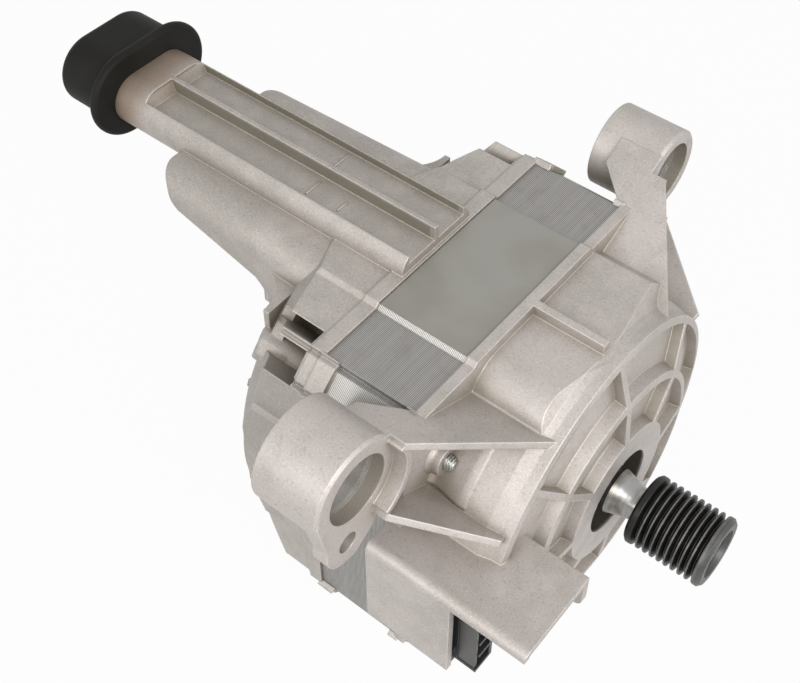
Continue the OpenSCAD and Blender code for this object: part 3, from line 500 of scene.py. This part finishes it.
@dataclass(frozen=True)
class BlankFoil:
    """Satin foil with nothing on it, slightly clouded."""

    name: str = "blank_foil_face"
    colour: Colour = (0.335, 0.325, 0.295)
    cloud: Colour = (0.29, 0.28, 0.245)

    def build(self) -> bpy.types.Material:
        """Builds the material.

        Returns:
            The finished material.
        """
        g = Graph(self.name)
        fibre = g.noise(1.0, 2.0, 0.5, g.stretched((2600.0, 700.0, 700.0)))
        haze = g.noise(45.0, 3.0)
        base = g.mix(g.ramp(haze, 0.35, 0.65), self.cloud, self.colour)
        return g.finish(Base_Color=base, Metallic=0.35, Roughness=0.46 + fibre * 0.08,
                        Normal=g.bump(fibre, 0.000006, 0.5))


@dataclass(frozen=True)
class ZincPlating:
    """Bright zinc plating, with painted shade in the thread's roots."""

    name: str = "zinc_plating"
    colour: Colour = (0.72, 0.74, 0.70)
    bright: Colour = (0.9, 0.9, 0.88)

    def build(self) -> bpy.types.Material:
        """Builds the material.

        Returns:
            The finished material.
        """
        g = Graph(self.name)
        stain = g.noise(400.0, 3.0)
        soft, edge = g.edges(0.0002)
        # Painted shade in the thread's roots and other tight corners
        closed = g.ramp(1.0 - g.open_sky(0.0012), 0.1, 0.7)
        base = g.mix(g.ramp(stain, 0.35, 0.65), tuple(c * 0.85 for c in self.colour), self.colour)
        base = g.mix(closed * 0.8, base, tuple(c * 0.25 for c in self.colour))
        base = g.mix(g.ramp(edge, 0.03, 0.3) * 0.5, base, self.bright)
        return g.finish(Base_Color=base, Metallic=0.8, Roughness=0.3 + stain * 0.12,
                        Normal=g.bump(stain, 0.00002, 0.4, soft))


@dataclass(frozen=True)
class BlackCoat:
    """Black coated pulley, worn bright along its rib tips, with a painted highlight on its edges and
    painted light greying its open end.
    """

    name: str = "black_pulley_coat"
    colour: Colour = (0.0085, 0.008, 0.0075)
    haze: Colour = (0.03, 0.028, 0.026)
    tip: Colour = (0.34, 0.33, 0.31)
    # Grey of the painted light inside the open end
    end: Colour = (0.10, 0.10, 0.095)
    tip_radius: float = 0.0112
    end_face: float = 0.0108
    first_rib: float = -0.0094

    def build(self) -> bpy.types.Material:
        """Builds the material.

        Returns:
            The finished material.
        """
        g = Graph(self.name)
        across = g.vector("MULTIPLY", g.place(), (0.0, 1.0, 1.0))
        radius = g.vector("LENGTH", across, out="Value")
        haze = g.noise(300.0, 3.0)
        line = g.noise(1.0, 2.0, 0.6, g.stretched((9000.0, 60.0, 60.0)))
        soft, edge = g.edges(0.0002)
        crest = (g.ramp(radius, self.tip_radius - 0.00008, self.tip_radius - 0.00001)
                 * (g.axis(Axis.X) > self.first_rib))
        # Painted light: the open end is lightened grey where light falls into it
        end_light = g.ramp(g.axis(Axis.X), self.end_face, self.end_face + 0.0008)
        base = g.mix(g.ramp(haze, 0.4, 0.7) * 0.5, self.colour, self.haze)
        base = g.mix(end_light * (0.5 + haze * 0.5), base, self.end)
        base = g.mix(crest * (1.0 - end_light) * (0.1 + haze * 0.5), base, self.tip)
        # Painted highlight on the edges, strongest at the open end
        base = g.mix(g.ramp(edge, 0.1, 0.4) * (0.12 + end_light * 0.3), base, self.tip)
        return g.finish(Base_Color=base, Metallic=0.4, Roughness=0.34 + haze * 0.14 + line * 0.06,
                        Normal=g.bump(line, 0.000008, 0.5, soft))


@dataclass(frozen=True)
class GroundShaft:
    """Turned steel shaft with brownish bands round it, a painted reflection."""

    name: str = "ground_shaft"
    colour: Colour = (0.36, 0.35, 0.34)
    reflection_brown: Colour = (0.12, 0.105, 0.085)

    def build(self) -> bpy.types.Material:
        """Builds the material.

        Returns:
            The finished material.
        """
        g = Graph(self.name)
        line = g.noise(1.0, 3.0, 0.6, g.stretched((11000.0, 60.0, 60.0)))
        band = g.noise(1.0, 2.0, 0.5, g.stretched((150.0, 110.0, 110.0)))
        # Painted reflection: brownish bands mixed into the steel
        base = g.mix(g.ramp(band * 0.7 + line * 0.3, 0.42, 0.6), self.reflection_brown, self.colour)
        return g.finish(Base_Color=base, Metallic=0.9, Roughness=0.24 + line * 0.12,
                        Normal=g.bump(line, 0.000012, 0.6))


@dataclass(frozen=True)
class LaminatedSteel:
    """Edges of thin stacked sheets, pressed together along the shaft axis."""

    name: str = "lamination_edges"
    sheet: float = 0.0005
    dull: Colour = (0.375, 0.365, 0.35)
    fresh: Colour = (0.425, 0.415, 0.40)
    gap: Colour = (0.12, 0.11, 0.10)
    stain: Colour = (0.23, 0.215, 0.195)
    rust: Colour = (0.13, 0.085, 0.05)
    slope_light: Colour = (0.74, 0.72, 0.69)
    bright: Colour = (0.7, 0.68, 0.65)

    def build(self) -> bpy.types.Material:
        """Builds the material.

        Returns:
            The finished material.
        """
        g = Graph(self.name)
        x = g.axis(Axis.X)
        wave = g.math("FRACT", x / self.sheet)
        gap = g.ramp(g.math("ABSOLUTE", wave - 0.5), 0.22, 0.46)
        each = g.node("TexWhiteNoise", {"W": g.math("FLOOR", x / self.sheet)}, noise_dimensions="1D")
        stain = g.noise(160.0, 4.0)
        rust = g.noise(420.0, 3.0)
        soft, edge = g.edges(0.0005)
        base = g.mix(gap, g.mix(each, self.dull, self.fresh), self.gap)
        base = g.mix(g.ramp(stain, 0.5, 0.75) * 0.4, base, self.stain)
        base = g.mix(g.ramp(rust, 0.68, 0.76) * 0.6, base, self.rust)
        # Painted light: the slopes beside the raised land and at the corners are lighter than the flats
        up = g.math("ABSOLUTE", g.node("SeparateXYZ", {0: g.node("NewGeometry", out="Normal")}, out=2))
        tilted = g.ramp(0.97 - up, 0.0, 0.06) * g.ramp(up, 0.2, 0.4)
        base = g.mix(tilted * (1.0 - gap) * 0.6, base, self.slope_light)
        base = g.mix(g.ramp(edge, 0.03, 0.3) * 0.4, base, self.bright)
        return g.finish(Base_Color=base, Metallic=0.65, Roughness=0.42 + gap * 0.2,
                        Normal=g.bump(1.0 - gap, 0.00006, 0.6, soft))


@dataclass(frozen=True)
class Moulded:
    """Moulded rubber or plastic."""

    name: str
    colour: Colour
    roughness: float
    grain: float = 2400.0
    depth: float = 0.00004
    gloss: float = 0.4

    def build(self) -> bpy.types.Material:
        """Builds the material.

        Returns:
            The finished material.
        """
        g = Graph(self.name)
        grain = g.noise(self.grain, 2.0)
        smudge = g.noise(70.0, 4.0)
        soft, edge = g.edges(0.0004)
        worn = g.ramp(edge, 0.04, 0.35)
        light = tuple(min(1.0, c * 1.35 + 0.008) for c in self.colour)
        base = g.mix(g.ramp(smudge, 0.4, 0.7) * 0.5, self.colour, light)
        base = g.mix(worn * 0.45, base, light)
        return g.finish(Base_Color=base, Roughness=self.roughness + smudge * 0.16 - 0.08,
                        Specular_IOR_Level=self.gloss, Normal=g.bump(grain, self.depth, 0.6, soft))


@dataclass
class Dressing:
    """Which finish each CAD node wears."""

    frame: dict[str, object]
    made: dict[str, bpy.types.Material] = field(default_factory=dict)

    def wear(self, node: str, material: bpy.types.Material) -> None:
        """Puts a material on a CAD node.

        Args:
            node: Name of the node.
            material: The material.
        """
        data = self.frame["nodes"][node].data
        data.materials.clear()
        data.materials.append(material)
        self.made[node] = material
        LOG.info("%s wears %s", node, material.name)

    def dress(self) -> None:
        """Dresses all nodes."""
        steel = PlainMetal("bearing_steel_polish", (0.62, 0.62, 0.63), 0.2).build()
        cage = PlainMetal("pressed_cage", (0.5, 0.48, 0.42), 0.35).build()
        seal = Moulded("seal_rubber_skin", (0.02, 0.02, 0.02), 0.6).build()
        cream = Moulded("cream_insulation", (0.72, 0.68, 0.58), 0.5).build()
        plan = {
            "front_end_shield": CastAluminium().build(),
            "stator_core": LaminatedSteel().build(),
            "blank_label": BlankFoil().build(),
            "arm_boot": Moulded("boot_rubber_skin", (0.0095, 0.009, 0.0075), 0.6, gloss=0.16).build(),
            "belt_pulley": BlackCoat().build(),
            "shaft": GroundShaft().build(),
            "through_screws": ZincPlating().build(),
            "connector_housing": Moulded("black_housing", (0.018, 0.018, 0.019), 0.42).build(),
            "connector_side_plate": Moulded("grey_plate", (0.062, 0.061, 0.057), 0.42,
                                            depth=0.00001).build(),
            "connector_terminals": PlainMetal("tinned_terminals", (0.7, 0.66, 0.55), 0.28).build(),
            "cooling_fan": Moulded("fan_moulding", (0.05, 0.05, 0.055), 0.5).build(),
            "stator_coils": PlainMetal("copper_wire", (0.6, 0.27, 0.11), 0.35).build(),
            "preload_washer": PlainMetal("tempered_strip", (0.3, 0.32, 0.36), 0.3).build(),
            "rotor_magnets": Moulded("ground_ferrite", (0.06, 0.06, 0.065), 0.6).build(),
            "phase_leads": Moulded("red_sleeving", (0.42, 0.03, 0.02), 0.5).build(),
        }
        # Painted shade: the rear casting is a little darker than the front one, for light that falls off
        # towards the rear
        plan["rear_end_shield"] = CastAluminium(name="cast_aluminium_rear_shaded", colour=(0.48, 0.44, 0.41),
                                                shade=(0.395, 0.365, 0.335)).build()
        plan["rotor_core"] = plan["stator_core"]
        for node in ("front_slot_insulator", "rear_slot_insulator", "thermal_cutout"):
            plan[node] = cream
        for end in ("front", "rear"):
            plan[f"{end}_bearing_outer_ring"] = steel
            plan[f"{end}_bearing_inner_ring"] = steel
            plan[f"{end}_bearing_balls"] = steel
            plan[f"{end}_bearing_cage"] = cage
            plan[f"{end}_bearing_seals"] = seal
        for node, material in plan.items():
            self.wear(node, material)


def make_piece(name: str, shape: bmesh.types.BMesh, material: bpy.types.Material, body: Body,
               smooth: bool = True) -> bpy.types.Object:
    """Turns a bmesh into a piece that rides on a body.

    Args:
        name: The piece's name.
        shape: The finished mesh, in the part's frame; it is freed.
        material: What it wears.
        body: The body that carries it.
        smooth: True shades its faces smooth.

    Returns:
        The new object.
    """
    bmesh.ops.remove_doubles(shape, verts=shape.verts, dist=WELD)
    bmesh.ops.recalc_face_normals(shape, faces=shape.faces)
    for face in shape.faces:
        face.smooth = smooth
    data = bpy.data.meshes.new(name)
    shape.to_mesh(data)
    shape.free()
    data.materials.append(material)
    piece = bpy.data.objects.new(name, data)
    bpy.context.scene.collection.objects.link(piece)
    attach(piece, body.value)
    LOG.info("%s: %d faces on %s", name, len(data.polygons), body.value)
    return piece


@dataclass
class ScrewTips:
    """The screws with their tapered, threaded ends, and the soft roots of the bosses they come out of."""

    frame: dict[str, object]
    zinc: bpy.types.Material
    casting: bpy.types.Material
    reach: Pair = (0.0435, 0.0360)
    shoulder: float = -0.05335
    step_length: float = 0.0001
    centre_reach: float = 0.00001
    root_start: float = 0.00205
    taper: float = 0.3
    crest: float = 0.00034
    sunk: float = 0.0001
    pitch: float = 0.00072
    turns: int = 3
    steps: int = 40
    run_out: int = 8
    wall: float = -0.0567
    boss_radius: float = 0.0049
    root_steps: int = 48
    # Hollow curve of a boss's root, as places in front of the wall and beside the boss
    root_curve: tuple[Pair, ...] = (
        (-0.0005, -0.0006), (-0.0005, 0.0012), (0.00002, 0.0011), (0.0003, 0.0007), (0.0008, 0.0003),
        (0.0015, 0.00008), (0.0022, -0.00002), (0.0022, -0.0006))

    def places(self) -> list[Vector]:
        """The four screw axes, as points on the plane across the shaft."""
        return [Vector((0.0, sy * self.reach[0], sz * self.reach[1])) for sy in (-1, 1) for sz in (-1, 1)]

    def root(self, x: float) -> float:
        """Radius of the thread's root at a place along the shaft."""
        return self.root_start - self.taper * (x - self.shoulder)

    def shanks(self) -> None:
        """Builds the screws from the CAD mesh, slimmed and tapered in front of the bosses."""
        shape = bmesh.new()
        shape.from_mesh(self.frame["nodes"]["through_screws"].data)
        bmesh.ops.remove_doubles(shape, verts=shape.verts, dist=WELD)
        for x in (self.shoulder - self.step_length, self.shoulder):
            bmesh.ops.bisect_plane(shape, geom=[*shape.verts, *shape.edges, *shape.faces], dist=WELD,
                                   plane_co=(x, 0, 0), plane_no=(1, 0, 0))
        slimmed = [vert for vert in shape.verts if vert.co.x > self.shoulder - self.step_length / 2]
        for vert in slimmed:
            centre = min(self.places(), key=lambda p: (vert.co - p).yz.length)
            off = Vector((0.0, vert.co.y - centre.y, vert.co.z - centre.z))
            if off.length > self.centre_reach:
                off *= self.root(vert.co.x) / off.length
            vert.co = Vector((vert.co.x, centre.y + off.y, centre.z + off.z))
        screws = make_piece("threaded_screws", shape, self.zinc, Body.STATOR, smooth=False)
        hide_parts("through_screws")

    def threads(self) -> None:
        """Builds the thread: a three-sided profile wound along each tapered end."""
        shape = bmesh.new()
        count = self.steps * self.turns
        for centre in self.places():
            rings = []
            for i in range(count + 1):
                x = self.shoulder + self.pitch * i / self.steps
                grown = min(1.0, i / self.run_out, (count - i) / self.run_out) * self.crest
                angle = math.tau * i / self.steps
                out = Vector((0.0, math.cos(angle), math.sin(angle)))
                foot = self.root(x) - self.sunk
                profile = ((0.0, foot), (0.3 * self.pitch, self.root(x) + grown), (0.6 * self.pitch, foot))
                rings.append([shape.verts.new(centre + Vector((x + dx, 0, 0)) + out * r)
                              for dx, r in profile])
            for one, two in zip(rings, rings[1:]):
                for k in range(3):
                    shape.faces.new((one[k], one[(k + 1) % 3], two[(k + 1) % 3], two[k]))
            shape.faces.new(rings[0])
            shape.faces.new(rings[-1])
        make_piece("screw_threads", shape, self.zinc, Body.STATOR, smooth=False)

    def boss_roots(self) -> None:
        """Builds the hollow curve between each boss and the flange."""
        shape = bmesh.new()
        for centre in self.places():
            verts = [shape.verts.new(centre + Vector((self.wall + x, 0.0, self.boss_radius + beside)))
                     for x, beside in self.root_curve]
            edges = [shape.edges.new((one, two)) for one, two in zip(verts, verts[1:] + verts[:1])]
            bmesh.ops.spin(shape, geom=[*verts, *edges], cent=centre, axis=(1, 0, 0), angle=math.tau,
                           steps=self.root_steps, use_merge=True, use_duplicate=False)
        make_piece("screw_boss_roots", shape, self.casting, Body.STATOR)

    def build(self) -> None:
        """Builds all pieces."""
        self.shanks()
        self.threads()
        self.boss_roots()


@dataclass
class CastFloors:
    """Floors swept round the shaft, in the screw valleys and in the rear shield's corner pockets."""

    front: bpy.types.Material
    rear: bpy.types.Material
    # Spans are degrees in one quarter; outlines are places along the shaft and radii
    valley_spans: tuple[Pair, ...] = ((30.1, 53.9),)
    valley_outline: tuple[Pair, ...] = (
        (-0.0569, 0.0566), (-0.0564, 0.0557), (-0.0557, 0.0552), (-0.0549, 0.0550), (-0.0540, 0.05505),
        (-0.0530, 0.05525), (-0.0520, 0.0555), (-0.0510, 0.0558), (-0.0500, 0.0561), (-0.0490, 0.0564),
        (-0.0480, 0.0567), (-0.0470, 0.05698), (-0.0462, 0.05722), (-0.0454, 0.05737),
        (-0.0446, 0.05739), (-0.0436, 0.05735), (-0.0426, 0.05728), (-0.0426, 0.0525),
        (-0.0569, 0.0525))
    valley_steps: int = 24
    pocket_spans: tuple[Pair, ...] = ((45.2, 48.6), (49.4, 53.8))
    pocket_outline: tuple[Pair, ...] = (
        (-0.0960, 0.0517), (-0.0960, 0.0546), (-0.1132, 0.0546), (-0.1132, 0.0517))
    pocket_steps: int = 8

    @staticmethod
    def in_all_quarters(spans: tuple[Pair, ...]) -> list[Pair]:
        """Mirrors spans of one quarter into the other three.

        Args:
            spans: First and last angles in the first quarter, in degrees.

        Returns:
            The spans of all four quarters.
        """
        found = []
        for first, last in spans:
            found += [(first, last), (180 - last, 180 - first), (180 + first, 180 + last),
                      (360 - last, 360 - first)]
        return found

    def sweep(self, name: str, spans: tuple[Pair, ...], outline: tuple[Pair, ...], steps: int,
              casting: bpy.types.Material) -> None:
        """Builds one piece: a closed solid through each span and its three mirrored ones.

        Args:
            name: The piece's name.
            spans: Spans in the first quarter.
            outline: The solid's section.
            steps: Number of faces along a span.
            casting: What it wears.
        """
        shape = bmesh.new()
        for first, last in self.in_all_quarters(spans):
            angle = math.radians(first)
            across = Vector((0.0, math.cos(angle), math.sin(angle)))
            section = shape.faces.new([shape.verts.new(Vector((x, 0, 0)) + across * r)
                                       for x, r in outline])
            bmesh.ops.spin(shape, geom=[section], cent=(0, 0, 0), axis=(1, 0, 0),
                           angle=math.radians(last - first), steps=steps, use_merge=False,
                           use_duplicate=False)
        make_piece(name, shape, casting, Body.STATOR)

    def build(self) -> None:
        """Builds both pieces."""
        self.sweep("valley_floors", self.valley_spans, self.valley_outline, self.valley_steps, self.front)
        self.sweep("pocket_floors", self.pocket_spans, self.pocket_outline, self.pocket_steps, self.rear)


@dataclass
class CastTouches:
    """Small cast features: the hood's root at the rim and low cross ridges in the arm's channels."""

    casting: bpy.types.Material
    seamless: bpy.types.Material
    roof_top: float = 0.0200
    roof_wall: float = 0.0022
    roof_inner: float = 0.0405
    root_x: Pair = (-0.0322, -0.0206)
    root_outer: float = 0.0506
    root_proud: float = 0.00001
    channel_floor: float = 0.0627
    ridge_height: float = 0.0003
    ridge_width: float = 0.0007
    ridge_rounding: float = 0.00015
    # Each ridge's place along the shaft, its middle across the arm, and its length
    ridges: tuple[Point, ...] = (
        (-0.1330, -0.0064, 0.0068), (-0.1211, -0.0070, 0.0048), (-0.1342, 0.0080, 0.0070))

    def block(self, shape: bmesh.types.BMesh, low: Point, high: Point, rounding: float = 0.0) -> None:
        """Adds a block, with bevelled edges if asked.

        Args:
            shape: The mesh it goes into.
            low: Its lowest corner.
            high: Its highest corner.
            rounding: Width of the bevels, in metres.
        """
        middle = [(a + b) / 2 for a, b in zip(low, high)]
        size = [b - a for a, b in zip(low, high)]
        made = bmesh.ops.create_cube(shape, size=1.0, matrix=Matrix.LocRotScale(middle, None, size))
        if not rounding:
            return
        edges = list({edge for vert in made["verts"] for edge in vert.link_edges})
        bmesh.ops.bevel(shape, geom=edges, offset=rounding, segments=3, profile=0.5, affect="EDGES",
                        material=-1)

    def build(self) -> None:
        """Builds both pieces; each ridge goes as deep under the channel's floor as it stands over it."""
        root = bmesh.new()
        self.block(root, (self.root_x[0], -self.root_outer, self.roof_top - self.roof_wall),
                   (self.root_x[1], -self.roof_inner, self.roof_top + self.root_proud))
        make_piece("hood_root", root, self.seamless, Body.STATOR, smooth=False)
        ridges = bmesh.new()
        for x, y, length in self.ridges:
            half = (self.ridge_width / 2, length / 2, self.ridge_height)
            middle = (x, y, self.channel_floor)
            self.block(ridges, tuple(m - h for m, h in zip(middle, half)),
                       tuple(m + h for m, h in zip(middle, half)), self.ridge_rounding)
        make_piece("channel_marks", ridges, self.casting, Body.STATOR)


@dataclass(frozen=True)
class Lamp:
    """A soft square lamp: where it hangs and the length of a side in metres, and its power in watts."""

    name: str
    place: Point
    size: float
    power: float


@dataclass
class Studio:
    """Pale floor, soft lights and the camera."""

    floor_z: float
    floor_half: float = 3.0
    floor_colour: Colour = (0.62, 0.62, 0.62)
    floor_white: float = 0.965
    ambient: float = 0.27
    lit_point: Point = (-0.07, 0.0, 0.0)
    lamps: tuple[Lamp, ...] = (Lamp("key", (0.5, -0.42, 0.62), 0.5, 5.9),
                               Lamp("fill", (2.2, 0.2, 1.0), 1.2, 11.0),
                               Lamp("side", (-0.35, -2.0, 0.95), 0.9, 13.5))
    azimuth: float = 36.87
    elevation: float = 47.26
    roll: float = 1.54
    eye: Point = (0.0655, -0.2093, 0.3299)
    lens: float = 58.98
    shift: Pair = (-0.0454, -0.0808)

    def camera(self) -> None:
        """Makes the camera that stands where the photograph's did."""
        data = bpy.data.cameras.new("photo_camera")
        data.lens = self.lens
        data.sensor_width = 36.0
        data.shift_x, data.shift_y = self.shift
        data.clip_start = 0.01
        data.clip_end = 50.0
        camera = bpy.data.objects.new("photo_camera", data)
        bpy.context.scene.collection.objects.link(camera)
        az, el = math.radians(self.azimuth), math.radians(self.elevation)
        back = Vector((math.sin(az) * math.cos(el), -math.cos(az) * math.cos(el), math.sin(el)))
        right = Vector((math.cos(az), math.sin(az), 0.0))
        turn = Matrix.Rotation(math.radians(self.roll), 3, back)
        right, up = turn @ right, turn @ back.cross(right)
        place = Matrix((right, up, back)).transposed().to_4x4()
        place.translation = Vector(self.eye)
        camera.matrix_world = place
        bpy.context.scene.camera = camera

    def floor(self) -> None:
        """Makes the pale floor under the motor; it looks nearly white and keeps a soft shadow."""
        shape = bmesh.new()
        bmesh.ops.create_grid(shape, x_segments=1, y_segments=1, size=self.floor_half)
        bmesh.ops.translate(shape, vec=(0, 0, self.floor_z), verts=shape.verts)
        data = bpy.data.meshes.new("floor")
        shape.to_mesh(data)
        shape.free()
        floor = bpy.data.objects.new("floor", data)
        bpy.context.scene.collection.objects.link(floor)
        g = Graph("pale_floor")
        data.materials.append(g.finish(Base_Color=self.floor_colour, Roughness=0.9,
                                       Specular_IOR_Level=0.0))
        white = g.tree.nodes.new("ShaderNodeEmission")
        blend = g.tree.nodes.new("ShaderNodeMixShader")
        g.put(blend.inputs[0], self.seen(g) * self.floor_white)
        g.tree.links.new(g.shader.outputs["BSDF"], blend.inputs[1])
        g.tree.links.new(white.outputs["Emission"], blend.inputs[2])
        out = g.tree.get_output_node("ALL")
        g.tree.links.new(blend.outputs["Shader"], out.inputs["Surface"])
        floor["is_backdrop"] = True

    @staticmethod
    def seen(g: Graph) -> Sock:
        """1 where the camera, or metal or glass, looks at a background, 0 where it only gives light."""
        rays = [g.node("LightPath", out=f"Is {kind} Ray") for kind in ("Camera", "Glossy", "Transmission")]
        return g.math("MAXIMUM", g.math("MAXIMUM", rays[0], rays[1]), rays[2])

    def hang(self, lamp: Lamp) -> None:
        """Makes one lamp that looks at the motor.

        Args:
            lamp: Its name, place, size and power.
        """
        data = bpy.data.lights.new(lamp.name, "AREA")
        data.size = lamp.size
        data.energy = lamp.power
        hung = bpy.data.objects.new(lamp.name, data)
        bpy.context.scene.collection.objects.link(hung)
        hung.location = lamp.place
        aim = Vector(self.lit_point) - Vector(lamp.place)
        hung.rotation_mode = "QUATERNION"
        hung.rotation_quaternion = aim.to_track_quat("-Z", "Y")
        hung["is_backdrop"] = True

    def world(self) -> None:
        """Makes the pale surroundings, white where the camera and shiny metal see them."""
        world = bpy.data.worlds.new("studio")
        world.use_nodes = True
        g = Graph.around(world.node_tree)
        shown = self.seen(g)
        g.put(g.tree.nodes["Background"].inputs["Color"],
              g.mix(shown, (self.ambient,) * 3, (1.0, 1.0, 1.0)))
        bpy.context.scene.world = world

    def build(self) -> None:
        """Makes the whole studio."""
        self.world()
        self.floor()
        for lamp in self.lamps:
            self.hang(lamp)
        self.camera()
        bpy.context.scene.view_settings.view_transform = "Standard"
        LOG.info("studio stands on z %.4f", self.floor_z)


def main() -> None:
    """Loads the solids, dresses them and builds the studio."""
    logging.basicConfig(level=logging.INFO, format="%(name)s: %(message)s")
    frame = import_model()
    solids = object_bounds()
    dressing = Dressing(frame)
    dressing.dress()
    casting = dressing.made["front_end_shield"]
    seamless = CastAluminium(name="cast_aluminium_seamless", edge=0.0).build()
    ScrewTips(frame, dressing.made["through_screws"], seamless).build()
    CastFloors(seamless, dressing.made["rear_end_shield"]).build()
    CastTouches(casting, seamless).build()
    Studio(floor_z=solids[0].z - FLOOR_GAP).build()


if __name__ == "__main__":
    main()
